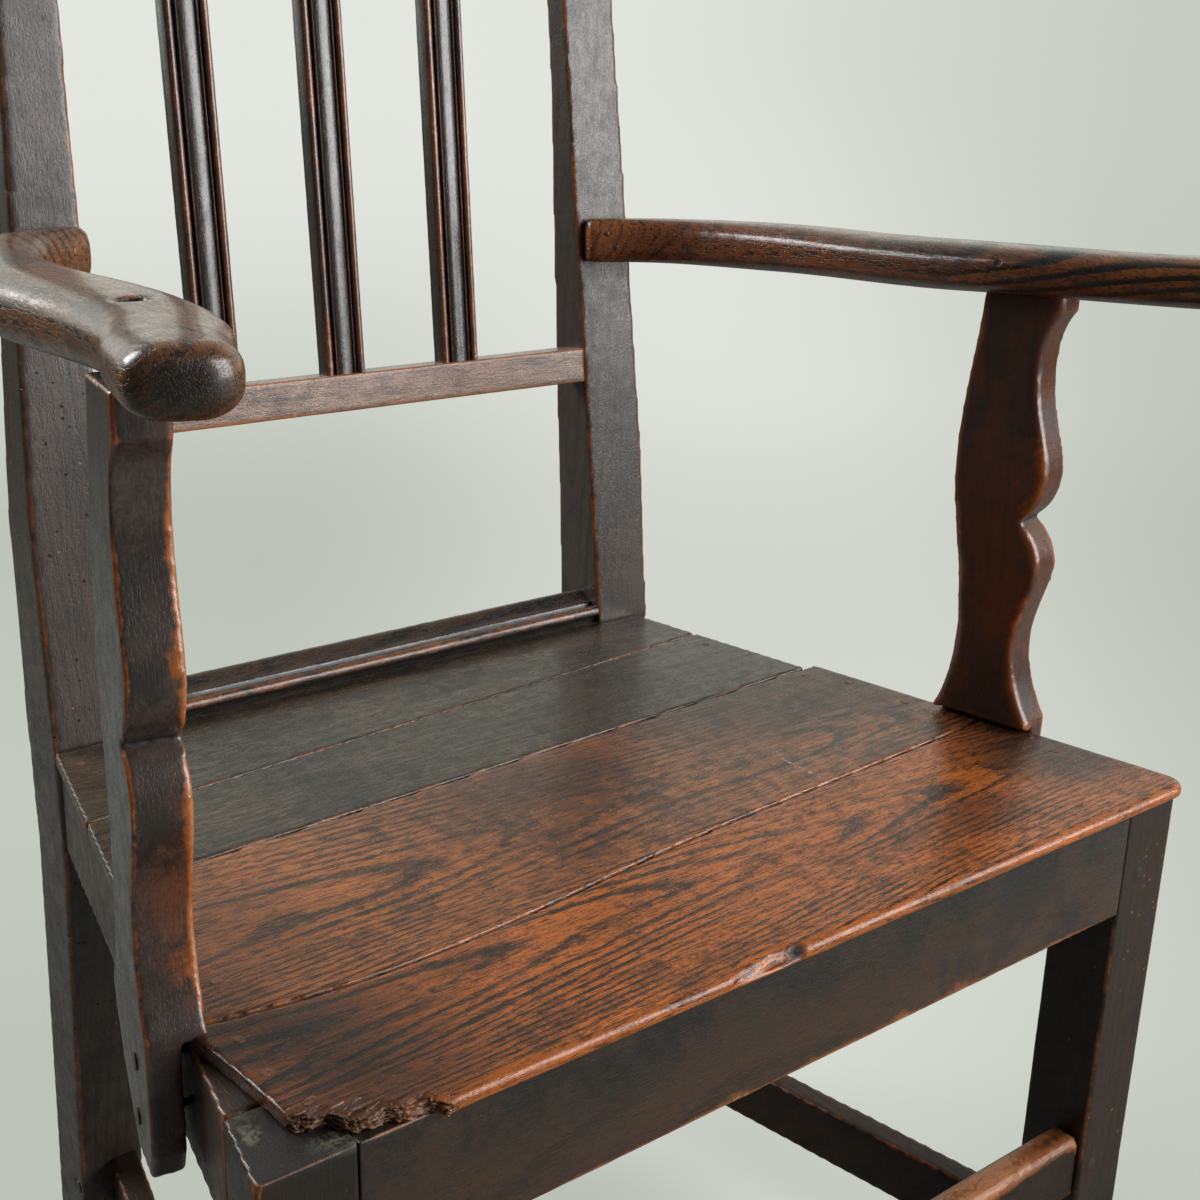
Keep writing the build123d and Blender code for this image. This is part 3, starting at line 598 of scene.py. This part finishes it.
for side, step, seed in (("left", -1, 51.0), ("middle", 0, 52.3), ("right", 1, 53.7)):
    node = side + "_back_slat"
    slat = bring("old_" + node, slat_blank.data.copy())
    # the outline's depth runs forward and its length runs up the back
    across = SLATS_OFF_CENTRE + step * SLAT_PITCH
    stand = Matrix(((1, 0, 0, across), (0, 0, -1, 0.001), (0, 1, 0, SLAT_FOOT), (0, 0, 0, 1)))
    slat.data.transform(back_frame @ stand)
    wood = OldWood(node, "Z", seed, (0.3, 0.3))
    material = wood.colours((0.050, 0.032, 0.025), (0.014, 0.011, 0.010), (0.17, 0.052, 0.017),
                            figure=0.15, fibre=0.35, pores=0.4, wear=0.85, sheen=0.25,
                            coat=0.6, gloss=0.24, pitted=0.7)
    fit(slat, node, material)
bpy.data.objects.remove(slat_blank)

# ------------------------------------------------------------
# Shoe. An oak moulding laid along the back of the seat between the posts: a bead in front,
# a fillet and quirk behind it, and a hollow that rises to a rounded back edge.
# ------------------------------------------------------------
SHOE_LENGTH = 0.3520
# the outline in millimetres: back from the front of the bead, up from the seat, and the wear, or
# below 0 how dark it is painted, for dirt and painted shade
SHOE_OUTLINE = [(25.8, 0.2, 0.0), (25.8, 8.0, 0.0), (25.8, 15.0, 0.1), (25.4, 17.6, 0.5),
                (24.2, 19.2, 0.8), (22.4, 19.7, 0.75), (20.4, 19.2, 0.6), (18.4, 17.9, 0.1),
                (16.2, 16.4, -0.1), (13.6, 15.0, -0.1), (11.6, 14.1, 0.05), (10.4, 13.8, 0.55),
                (9.6, 13.5, 0.75), (9.1, 12.8, 0.3), (8.9, 11.2, -1.0), (8.3, 10.4, -1.0),
                (7.6, 10.6, -0.8), (7.2, 11.3, 0.2), (6.2, 11.7, 0.7)]
SHOE_OUTLINE += [(4.6 - 3.9 * sin(pi * k / 8), 7.8 + 3.9 * cos(pi * k / 8),
                  (0.8, 0.95, 1.0, 1.0, 0.9, 0.7, 0.4, 0.1, -0.5)[k]) for k in range(1, 8)]
# painted shadow: the strip under the bead, along the seat, is painted near black
SHOE_OUTLINE += [(4.2, 3.0, -1.0), (5.0, 0.2, -1.0), (12.0, 0.2, 0.0)]
node = "shoe_moulding"
outline = [(y / 1000, z / 1000, worn) for y, z, worn in SHOE_OUTLINE]
shoe = draw_outline("old_" + node, [(x, z) for x, z, worn in outline])
run_moulding(shoe, outline, SHOE_LENGTH, 110, 0.0006)
shoe.data.transform(Matrix(((0, -1, 0, SHOE_LENGTH / 2), (1, 0, 0, POST_FACE + 0.0005),
                            (0, 0, 1, SEAT_TOP), (0, 0, 0, 1))))
wood = OldWood(node, "X", 31.0, (0.3, 0.3), ring=0.0032)
material = wood.colours((0.070, 0.036, 0.021), (0.014, 0.010, 0.008), (0.26, 0.082, 0.024),
                        figure=0.7, fibre=1.0, pores=0.95, wear=0.72, sheen=0.25, coat=0.35,
                        pitted=1.2)
fit(shoe, node, material)

# ------------------------------------------------------------
# Arm supports. Each is sawn from an oak board to a double curve with a cusp, tenoned into the arm
# above, and laps down outside the side rail, where two nails hold it. Hands and skirts have
# rubbed the front arrises round and orange; the faces between them are nearly black.
# ------------------------------------------------------------
# how far each support, and the nails of both, stand off their solids
SUPPORT_MOVES = {"left": (-0.0040, 0, -0.0025), "right": (0, 0, 0.0030)}
NAIL_MOVE = (-0.0034, 0, 0)
ARM_PEG = (-0.259, -0.1097)   # the lost peg of the left arm
for side, seed in (("left", 66.0), ("right", 67.3)):
    node = side + "_arm_support"
    support = blank(node)
    support.data.transform(Matrix.Translation(SUPPORT_MOVES[side]))
    inner, reach, depth = ((0.7, -0.7, 0), 2, 10) if side == "left" else ((-0.7, -0.7, 0), 5, 70)
    age(support, voxel=0.0013, soften=5, uneven=0.0003, knocked=0.0001,
        rubbed=[(inner, reach, depth)])
    wood = OldWood(node, "Z", seed, (0.2, 0.3), ring=0.006)
    if side == "left":
        patch = wood.spot((-0.277, -0.135, 0.47), (0.012, 0.02, 0.05)) * 0.45
        for up in (0.475, 0.530, 0.600, 0.655):
            worn = wood.spot((-0.2628, -0.147, up), (0.0140, 0.02, 0.042))
            patch = patch + worn * 0.65
        low = wood.spot((-0.262, -0.15, 0.50), (0.03, 0.05, 0.07))
        # partly painted sheen: both colours are lifted, the upper one towards grey, to stand in
        # for the soft sheen on this face; lower down the wood is also reddish
        light = wood.mix(low, (0.078, 0.052, 0.042), (0.160, 0.062, 0.030))
        # the tenon is seen at the bottom of the open peg hole, in the dark
        socket = wood.spread(wood.spot((*ARM_PEG, 0.730), (0.020, 0.020, 0.012)), 0.1, 0.3)
        warm = None
    else:
        patch = wood.spot((0.2570, -0.138, 0.60), (0.018, 0.028, 0.040)) * 0.62
        patch = patch + wood.spot((0.2570, -0.140, 0.52), (0.016, 0.024, 0.03)) * 0.5
        light, warm, socket = (0.100, 0.029, 0.011), (0.22, 0.060, 0.015), None
    material = wood.colours(light, (0.018, 0.009, 0.006), (0.36, 0.098, 0.018),
                            figure=0.06, fibre=0.4, pores=0.3, clouds=0.80, warm=warm,
                            extra=patch, holes=socket, sheen=0.30, pitted=0.6, gloss=0.24,
                            coat=0.4 if side == "left" else 0.3)
    fit(support, node, material)

# the nails through the laps: hand-forged, with flat heads
iron = Finish("wrought_iron")
place = iron.node("TexCoord", output=3)
rust = iron.spread(iron.noise(place, 900.0, 3.0), 0.40, 0.62)
iron.set(Base_Color=iron.mix(rust, (0.060, 0.052, 0.046), (0.110, 0.065, 0.038)),
         Roughness=rust * 0.2 + 0.35, Metallic=0.3 - rust * 0.2)
nails = blank("arm_support_nails")
nails.data.transform(Matrix.Translation(NAIL_MOVE))
apply(nails, "BEVEL", width=0.0006, segments=2, limit_method="ANGLE")
nails.data.shade_smooth()
fit(nails, "arm_support_nails", iron.material)

# ------------------------------------------------------------
# Arms. Each was sawn to its bow from a thick board and then rounded all over by hand. The rear
# end is tenoned into the post, and the front end is a blunt knob, rubbed dark and glossy.
# ------------------------------------------------------------
CHAIR_MIDDLE = 241.7          # from the front of the legs to the middle of the chair
LEFT_ARM_UP = 278.3           # middle of the left arm above the seat at its rear end
LEFT_ARM_RISE = 8.0           # how much higher it is at its front end
LEFT_ARM_SAG = 3.0            # how far its middle hangs below a straight line
LEFT_ARM_SWELL = 1.4          # how much its middle is thicker than the right one
ARM_BACK, ARM_RUN = 405, 390  # where an arm starts at the post, and how far it runs forward
KNOB_START = 15               # the station at which the front end starts
# along the middle of the right arm, from the post to the knob, in millimetres: place from the
# middle of the chair and from its front, half the width, height of the middle over the seat,
# half the thickness
ARM_STATIONS = [(171.0, 416.5, 5.0, 268.2, 12.0), (171.6, 416.3, 7.0, 268.2, 13.8),
                (174.5, 415.7, 8.2, 268.2, 14.4), (184.0, 412.8, 10.0, 268.2, 14.4),
                (197.0, 407.0, 12.6, 268.2, 14.4), (212.5, 397.0, 15.6, 268.3, 14.5),
                (229.0, 377.0, 18.2, 268.6, 14.7), (241.5, 349.0, 20.8, 269.3, 14.9),
                (249.5, 316.0, 23.2, 270.3, 15.0), (254.3, 280.0, 25.0, 271.4, 14.6),
                (255.3, 242.0, 25.8, 272.2, 14.4), (253.8, 203.0, 26.1, 273.6, 14.4),
                (253.3, 165.0, 26.1, 275.5, 14.0), (256.0, 132.0, 25.8, 277.3, 13.6),
                (262.5, 95.0, 24.6, 278.3, 13.2), (270.5, 62.0, 22.6, 279.0, 13.0),
                (277.0, 41.0, 21.4, 279.9, 13.2), (280.6, 29.5, 20.8, 280.4, 13.3),
                (282.6, 23.4, 20.2, 280.6, 13.3), (284.0, 19.4, 19.2, 280.7, 12.8),
                (285.0, 16.2, 17.0, 280.7, 11.6), (285.7, 13.9, 13.6, 280.7, 9.4),
                (286.2, 12.5, 8.4, 280.7, 5.8)]


def shape_arm(side):
    """Draws the arm straight, section by section, bends it to its bow and rounds it."""
    turn = 1 if side == "right" else -1
    line = [Vector((turn * x, y - CHAIR_MIDDLE, 0)) / 1000 for x, y, *_ in ARM_STATIONS]
    # the right arm runs on a little further forward, and the left one further outward
    for k in range(KNOB_START, len(line)):
        line[k] += Vector((0.0030, -0.0085, 0) if side == "right" else (-0.0052, 0.0008, 0))
    bpy.ops.object.select_all(action="DESELECT")
    bpy.ops.mesh.primitive_plane_add(size=2, rotation=(0, pi / 2, 0))
    bpy.ops.object.transform_apply(location=True, rotation=True, scale=True)
    arm = bpy.context.object
    arm.name = "old_" + side + "_arm"
    bpy.ops.object.mode_set(mode="EDIT")
    bpy.ops.mesh.select_all(action="SELECT")
    bpy.ops.mesh.bevel(offset=0.76, segments=6, affect="VERTICES")
    along, before = 0.0, (1.0, 0.0, 1.0)
    for k, (_, y, wide, middle, thick) in enumerate(ARM_STATIONS):
        if side == "left":
            along_arm = (ARM_BACK - y) / ARM_RUN
            bow = sin(pi * min(max(along_arm, 0), 1))
            middle = LEFT_ARM_UP + LEFT_ARM_RISE * along_arm - LEFT_ARM_SAG * bow
            thick += LEFT_ARM_SWELL * bow if y > 100 else 0
        now = (wide / 1000, SEAT_TOP + middle / 1000, thick / 1000)
        step = (line[k] - line[k - 1]).length if k else 0.0
        along += step
        move = (step, 0, now[1] - before[1])
        if k:
            bpy.ops.mesh.extrude_region_move(TRANSFORM_OT_translate={"value": move})
        else:
            bpy.ops.transform.translate(value=move)
        bpy.ops.transform.resize(value=(1, now[0] / before[0], now[2] / before[2]),
                                 center_override=(along, 0, now[1]))
        before = now
    bpy.ops.mesh.select_all(action="SELECT")
    bpy.ops.mesh.normals_make_consistent(inside=False)
    bpy.ops.object.mode_set(mode="OBJECT")
    path = bpy.data.curves.new("bow", "CURVE")
    path.dimensions = "2D"
    path.resolution_u = 24
    spline = path.splines.new("BEZIER")
    spline.bezier_points.add(len(line) - 1)
    for point, spot in zip(spline.bezier_points, line):
        point.co = spot
        point.handle_left_type = point.handle_right_type = "AUTO"
    guide = bring("bow", path)
    bpy.context.view_layer.update()
    bpy.context.view_layer.objects.active = arm
    apply(arm, "SUBSURF", levels=1, render_levels=1)
    apply(arm, "CURVE", object=guide, deform_axis="POS_X")
    bpy.data.objects.remove(guide)
    return arm


arms = {}
for side, seed, turn in (("left", 61.0, -1), ("right", 62.3, 1)):
    node = side + "_arm"
    arm = arms[side] = shape_arm(side)
    if side == "left":
        # the peg that held this arm to its support is gone, and its hole stands open
        bpy.ops.mesh.primitive_cylinder_add(vertices=24, radius=0.0054, depth=0.026,
                                            location=(*ARM_PEG, 0.729))
        bit = bpy.context.object
        bpy.context.view_layer.objects.active = arm
        apply(arm, "BOOLEAN", object=bit, operation="DIFFERENCE", solver="EXACT")
        bpy.data.objects.remove(bit)
    age(arm, voxel=0.0014, soften=3, knocked=0.0001, uneven=0.0006,
        rubbed=[((-turn * 0.34, -0.94, 0), 9, 34)])
    wood = OldWood(node, "Y", seed, (-turn * 0.262, 0.685), ring=0.0055, wander=0.012)
    knob = wood.spot((turn * 0.291, -0.2290, 0.7250), (0.028, 0.018, 0.019))
    if side == "left":
        light = (0.230, 0.090, 0.030)
        # painted shade: the inside of the open peg hole is painted near black
        hole = wood.spread(wood.spot((*ARM_PEG, 0.7270), (0.0105, 0.0105, 0.0400)), 0.45, 0.62)
        bold = wood.spot((-0.20, 0.12, 0.72), (0.08, 0.20, 0.05)) * 0.3 + 0.12
    else:
        light = (0.290, 0.088, 0.024)
        hole = wood.spots(((0.2335, -0.121, 0.7225), (0.012, 0.0026, 0.0022), 0.9),
                          ((0.2335, -0.1300, 0.7135), (0.012, 0.0030, 0.0026), 0.9))
        bold = wood.spot((0.27, -0.19, 0.72), (0.08, 0.15, 0.05)) + 0.10
    material = wood.colours(light, (0.024, 0.010, 0.006), (0.30, 0.105, 0.032), figure=bold,
                            fibre=0.5, pores=0.75, clouds=0.5, wear=0.4, darkening=knob * 0.95,
                            holes=hole, sheen=0.27, pitted=0.5, coat=0.30, gloss=0.14)
    fit(arm, node, material)


def round_head(sides, size, length, rim, crown):
    """A short round pin whose top end is inset and stands up a little."""
    bpy.ops.object.select_all(action="DESELECT")
    bpy.ops.mesh.primitive_cylinder_add(vertices=sides, radius=size, depth=length)
    head = bpy.context.object
    edit_nothing()
    for face in head.data.polygons:
        face.select = face.normal.z > 0.9
    bpy.ops.object.mode_set(mode="EDIT")
    bpy.ops.mesh.inset(thickness=rim, depth=crown)
    bpy.ops.object.mode_set(mode="OBJECT")
    return head


# the old nails at the rear end of the right arm, and the plug over one on the left
wood = OldWood("arm_end_plug", "Y", 91.0)
plug_finish = wood.colours((0.33, 0.12, 0.050), (0.14, 0.05, 0.024), (0.33, 0.12, 0.05),
                           figure=0.2, clouds=0.2, wear=0.0, coat=0.0)
for node, arm, size, spots, finish, slot in (
        ("arm_end_nails", arms["right"], 0.0017, [(0.1794, 0.7135), (0.1846, 0.7045)],
         iron.material, "wrought_iron"),
        ("arm_end_plug", arms["left"], 0.0026, [(-0.1815, 0.7210)], plug_finish, "peg_oak")):
    heads = []
    bpy.context.view_layer.update()
    for x, z in spots:
        _, spot, normal, _ = arm.ray_cast((x, 0.10, z), (0, 1, 0))
        head = round_head(11, size, 0.004, size * 0.35, size * 0.18)
        head.data.transform(Matrix.Translation(spot - normal * 0.0018)
                            @ normal.to_track_quat("Z", "Y").to_matrix().to_4x4())
        heads.append(head)
    for head in heads:
        head.select_set(True)
    if len(heads) > 1:
        bpy.ops.object.join()
    head = bpy.context.object
    head.name = "old_" + node
    head.data.shade_smooth()
    fit(head, node, finish)

# ------------------------------------------------------------
# Seat. Four elm boards laid across the rails and pegged down. They have shrunk apart, the front
# edge is worn round, and the corner on the left has broken away along the grain. The two in
# front are rubbed orange, the two behind have kept their dark skin.
# ------------------------------------------------------------
# the pegs in millimetres from the middle of the chair and from its front
SEAT_PEGS = [(278, 30), (263, 66), (246, 170), (241, 214), (227, 240), (211, 322), (206, 350),
             (-254, 25), (-259, 51), (-258, 78), (-247, 124), (-232, 200), (-218, 290),
             (-213, 376)]
SEAT_PEG_LENGTH = 0.030
seat_pegs = [Vector((x / 1000, (y - CHAIR_MIDDLE) / 1000, SEAT_TOP)) for x, y in SEAT_PEGS]


def stop_holes(piece):
    """Closes the peg holes flush, so that the board can be worn smooth over its pegs."""
    edit_nothing()
    for face in piece.data.polygons:
        middle = face.center
        face.select = abs(face.normal.z) < 0.3 and any(
            Vector((peg.x - middle.x, peg.y - middle.y)).length < 0.0036 for peg in seat_pegs)
    bpy.ops.object.mode_set(mode="EDIT")
    bpy.ops.mesh.delete(type="FACE")
    bpy.ops.mesh.select_all(action="SELECT")
    bpy.ops.mesh.fill_holes(sides=0)
    bpy.ops.mesh.normals_make_consistent(inside=False)
    bpy.ops.object.mode_set(mode="OBJECT")


# front board: the nose is rounded and knocked, with a chip out of it, and the broken corner
# shows splintered wood that is still pale
node = "front_seat_board"
board = blank(node)
stop_holes(board)
age(board, voxel=0.0013, soften=3, uneven=0.0005, knocked=0.0005,
    rubbed=[((0, -0.7, 0.7), 3, 24)])


def how_torn(points):
    """1 along the line where the corner broke away, fading to 0 on both sides."""
    off_line = np.abs(points[:, 1] + 0.2385 + (points[:, 0] + 0.232) * 0.51)
    ends = np.clip((-0.205 - points[:, 0]) / 0.004, 0, 1) * np.clip(
        (points[:, 0] + 0.268) / 0.006, 0, 1)
    return np.clip(1.5 - off_line / 0.008, 0, 1) * ends


close = how_torn(points_of(board)) > 0.3
for face in board.data.polygons:
    face.select = all(close[k] for k in face.vertices)
bpy.ops.object.mode_set(mode="EDIT")
bpy.ops.mesh.select_mode(type="FACE")
bpy.ops.mesh.subdivide(number_cuts=2, smoothness=0)
bpy.ops.mesh.select_mode(type="VERT")
bpy.ops.object.mode_set(mode="OBJECT")
torn = how_torn(points_of(board))
splinters = clouds("splinters", 0.0034)
splinters.noise_type = "HARD_NOISE"
stretch = bring("along_the_grain", None)
stretch.scale = (6, 1, 0.40)
bpy.context.view_layer.update()
apply(board, "DISPLACE", texture=splinters, texture_coords="OBJECT",
      texture_coords_object=stretch, direction="Y", vertex_group=mark(board, "torn", torn),
      strength=0.0075, mid_level=0.35)
board.vertex_groups.clear()
facing = points_of(board, "normal")[:, 2]
board.data.attributes.new("torn", "FLOAT", "POINT").data.foreach_set(
    "value", np.clip(torn * 1.4, 0, 1) * np.clip((0.86 - facing) / 0.2, 0, 1))
bpy.data.objects.remove(stretch)
wood = OldWood(node, "X", 21.3, (-0.175, 0.385), ring=0.0030, drift=0.038, wander=0.012)
darkening = wood.spots(((-0.275, -0.185, 0.44), (0.155, 0.13, 0.03), 0.85),
                   ((0.268, -0.165, 0.44), (0.085, 0.085, 0.03), 0.9),
                   ((0.165, -0.205, 0.44), (0.06, 0.028, 0.03), 0.55),
                   ((-0.272, -0.190, 0.4345), (0.010, 0.060, 0.005), 1.0))
nose = wood.spot((0, -0.2490, 0.4375), (3.0, 0.013, 0.013)) * 0.42
nose = nose - wood.spot((-0.275, -0.180, 0.436), (0.014, 0.060, 0.02)) * 1.2
broken = wood.node("Attribute", {"attribute_name": "torn"}, output=2)
chip = wood.spot((-0.0185, -0.2455, 0.4375), (0.0065, 0.0040, 0.0050))
pits = wood.specks(260.0, 0.16, 0.05) | chip
material = wood.colours((0.490, 0.132, 0.021), (0.040, 0.013, 0.006), (0.38, 0.105, 0.022),
                        bare=(0.44, 0.16, 0.06), figure=0.38, fibre=0.80, pores=0.8,
                        clouds=0.5, wear=0.7, darkening=darkening, extra=nose, fresh=broken,
                        holes=pits, flecks=wood.specks(120.0, 0.16, 0.02),
                        sheen=0.25, coat=0.10, gloss=0.18, shine=0.4)
fit(board, node, material)

# the other boards: the second is rubbed orange too, and the two behind it are dark
for node, seed, heart, ring, drift, light, dark, figure, dirt_and_reflection in (
        ("second_seat_board", 22.1, (-0.075, 0.385), 0.0033, 0.038, (0.370, 0.115, 0.026),
         (0.034, 0.014, 0.008), 0.272, [((0.190, -0.010, 0.44), (0.20, 0.10, 0.1), 0.75),
                                        # painted reflection: this middle spot paints a dark
                                        # reflection on the board; the other spots are dirt
                                        ((-0.010, -0.035, 0.44), (0.10, 0.05, 0.1), 0.65),
                                        ((-0.230, -0.080, 0.44), (0.07, 0.10, 0.1), 0.45)]),
        ("third_seat_board", 23.6, (0.07, 0.36), 0.0032, 0.020, (0.085, 0.054, 0.028),
         (0.030, 0.021, 0.013), 0.176, [((0.1, 0.07, 0.44), (0.3, 0.06, 0.1), 0.35)]),
        ("rear_seat_board", 24.2, (0.13, 0.36), 0.0032, 0.020, (0.080, 0.052, 0.028),
         (0.028, 0.020, 0.013), 0.160, [((0.2, 0.10, 0.44), (0.12, 0.12, 0.1), 0.35)])):
    board = blank(node)
    stop_holes(board)
    age(board, voxel=0.0016, soften=3, uneven=0.0004, knocked=0.0003)
    wood = OldWood(node, "X", seed, heart, ring=ring, drift=drift, wander=0.012)
    material = wood.colours(light, dark, (0.28, 0.086, 0.022), figure=figure, fibre=0.8,
                            pores=0.8, clouds=0.6, wear=0.72, darkening=wood.spots(*dirt_and_reflection),
                            sheen=0.27, coat=0.12, holes=wood.specks(260.0, 0.15, 0.03),
                            flecks=wood.specks(120.0, 0.14, 0.015))
    if node == "second_seat_board":
        scratch = wood.spot((0.1205, -0.105, 0.44), (0.0012, 0.028, 0.01))
        scratch = scratch * wood.spread(wood.rag + wood.patch * 0.5, 0.03, 0.08)
        wood.over(scratch, (0.45, 0.42, 0.38))
    fit(board, node, material)

# seat pegs: split oak pins, shaved flush with the boards, paler and redder on their end grain
peg = round_head(9, 0.0031, SEAT_PEG_LENGTH, 0.0005, 0.00012)
peg_mesh = peg.data.copy()
bpy.data.objects.remove(peg)
for k, spot in enumerate(seat_pegs):
    pin = bring("pin", peg_mesh.copy())
    wide = 0.80 + 0.30 * ((k * 7) % 5) / 4
    pin.data.transform(Matrix.Translation(spot - Vector((0, 0, SEAT_PEG_LENGTH / 2 - 0.0001)))
                       @ Matrix.Rotation(k * 2.3, 4, "Z")
                       @ Matrix.Diagonal((wide, 1.75 - wide, 1, 1)))
    pin.select_set(True)
    if k == 0:
        bpy.context.view_layer.objects.active = pin
bpy.ops.object.join()
pins = bpy.context.object
pins.name = "old_seat_pegs"
wood = OldWood("seat_pegs", "Z", 81.0)
material = wood.colours((0.23, 0.090, 0.052), (0.10, 0.038, 0.022), (0.27, 0.105, 0.060),
                        figure=0.3, clouds=0.6, sheen=0.36, wear=0.0, coat=0.0)
fit(pins, "seat_pegs", material)


# ------------------------------------------------------------
# Floor, light and camera. A pale paper floor with painted light on it, a wide window light from
# the front right, a smaller one high up behind on the left, and a room that is pale behind the
# chair.
# ------------------------------------------------------------
def paper_with_painted_light(finish, direction):
    """The pale grey-green of the paper with painted light: lightest high up on the left, and a
    painted pool of light low in the middle.
    """
    height = finish.node("SeparateXYZ", sockets={"Vector": direction}, output=2)
    aside = finish.vector("DOT_PRODUCT", direction, (0.788, -0.616, 0.0))
    high = finish.spread(aside, -0.10, 0.38, 0.86, 0.20) * finish.spread(height, -0.33, -0.03)
    # painted pool of light low in the middle
    low = finish.near(direction, (0.635, 0.657, -0.407), (0.32, 0.32, 0.44)) * 0.62
    return finish.mix(high + low, (0.498, 0.536, 0.466), (0.815, 0.838, 0.785))


CAMERA_PLACE = (-0.49139, -0.69547, 0.82707)
CAMERA_YAW, CAMERA_PITCH, CAMERA_ROLL = 38.0667, -18.8665, 1.3651
PICTURE_WIDTH = 1200          # in pixels
FOCAL_LENGTH = 1597.64        # in pixels
bpy.ops.mesh.primitive_circle_add(vertices=64, radius=60, fill_type="NGON")
floor = bpy.context.object
floor.name = "floor"
ground = Finish("paper_floor")
place = ground.node("TexCoord", output=3)
reach = ground.vector("LENGTH", place)
heading = ground.vector("NORMALIZE", ground.vector("SUBTRACT", place, CAMERA_PLACE))
camera_ray = ground.node("LightPath", output=0)
ground.set(Base_Color=ground.mix(camera_ray, (0.17, 0.18, 0.165), (0.62, 0.655, 0.60)),
           Roughness=0.95)
# painted light: to the camera the floor glows with the paper's colour and its painted light
glow = ground.node("Emission", sockets={"Color": paper_with_painted_light(ground, heading)})
seen = camera_ray * (0.66 + ground.spread(reach, 0.9, 3.5) * 0.34)
surface = ground.node("MixShader", sockets={
    0: seen, 1: Value(ground, ground.shader.outputs[0]), 2: glow})
ground.tree.links.new(surface.socket, ground.tree.nodes["Material Output"].inputs["Surface"])
floor.data.materials.append(ground.material)

# the room: dark in front, bright behind the chair, and dimmer again high up
scene.view_settings.view_transform = "Standard"
world = bpy.data.worlds.new("room")
scene.world = world
world.use_nodes = True
room = Finish("room", world.node_tree)
direction = room.node("TexCoord", output=0)
behind = room.vector("DOT_PRODUCT", direction, (0.62, 0.77, 0.12))
height = room.node("SeparateXYZ", sockets={"Vector": direction}, output=2)
bright = room.spread(behind, 0.05, 0.65) * room.spread(height, 0.36, 0.68, 1.0, 0.35)
walls = room.mix(bright, (0.065, 0.065, 0.065), (0.78, 0.82, 0.745))
# painted light: to the camera the room shows the paper with its painted light
tint = room.mix(room.node("LightPath", output=0), walls, paper_with_painted_light(room, direction))
room.tree.links.new(tint.socket, world.node_tree.nodes["Background"].inputs["Color"])


def softbox(name, place, aim, width, height, power):
    """A soft rectangular lamp turned towards a point."""
    light = bpy.data.lights.new(name, "AREA")
    light.shape = "RECTANGLE"
    light.size, light.size_y = width, height
    light.energy = power
    box = bring(name, light)
    box.location = place
    box.rotation_euler = (Vector(aim) - Vector(place)).to_track_quat("-Z", "Y").to_euler()


softbox("window", (1.55, -2.00, 1.50), (0, 0, 0.70), 1.9, 2.1, 100)
softbox("skylight", (-1.2, 1.7, 1.95), (0, 0, 0.65), 1.1, 1.1, 50)

camera_data = bpy.data.cameras.new("camera")
camera_data.sensor_width = 36
camera_data.lens = camera_data.sensor_width * FOCAL_LENGTH / PICTURE_WIDTH
camera = bring("camera", camera_data)
yaw, pitch, roll = (radians(angle) for angle in (CAMERA_YAW, CAMERA_PITCH, CAMERA_ROLL))
ahead = Vector((sin(yaw) * cos(pitch), cos(yaw) * cos(pitch), sin(pitch)))
level = Vector((cos(yaw), -sin(yaw), 0))
upright = level.cross(ahead)
across = level * cos(roll) + upright * sin(roll)
up = upright * cos(roll) - level * sin(roll)
turn = Matrix((across, up, -ahead)).transposed().to_4x4()
camera.matrix_world = Matrix.Translation(CAMERA_PLACE) @ turn
scene.camera = camera
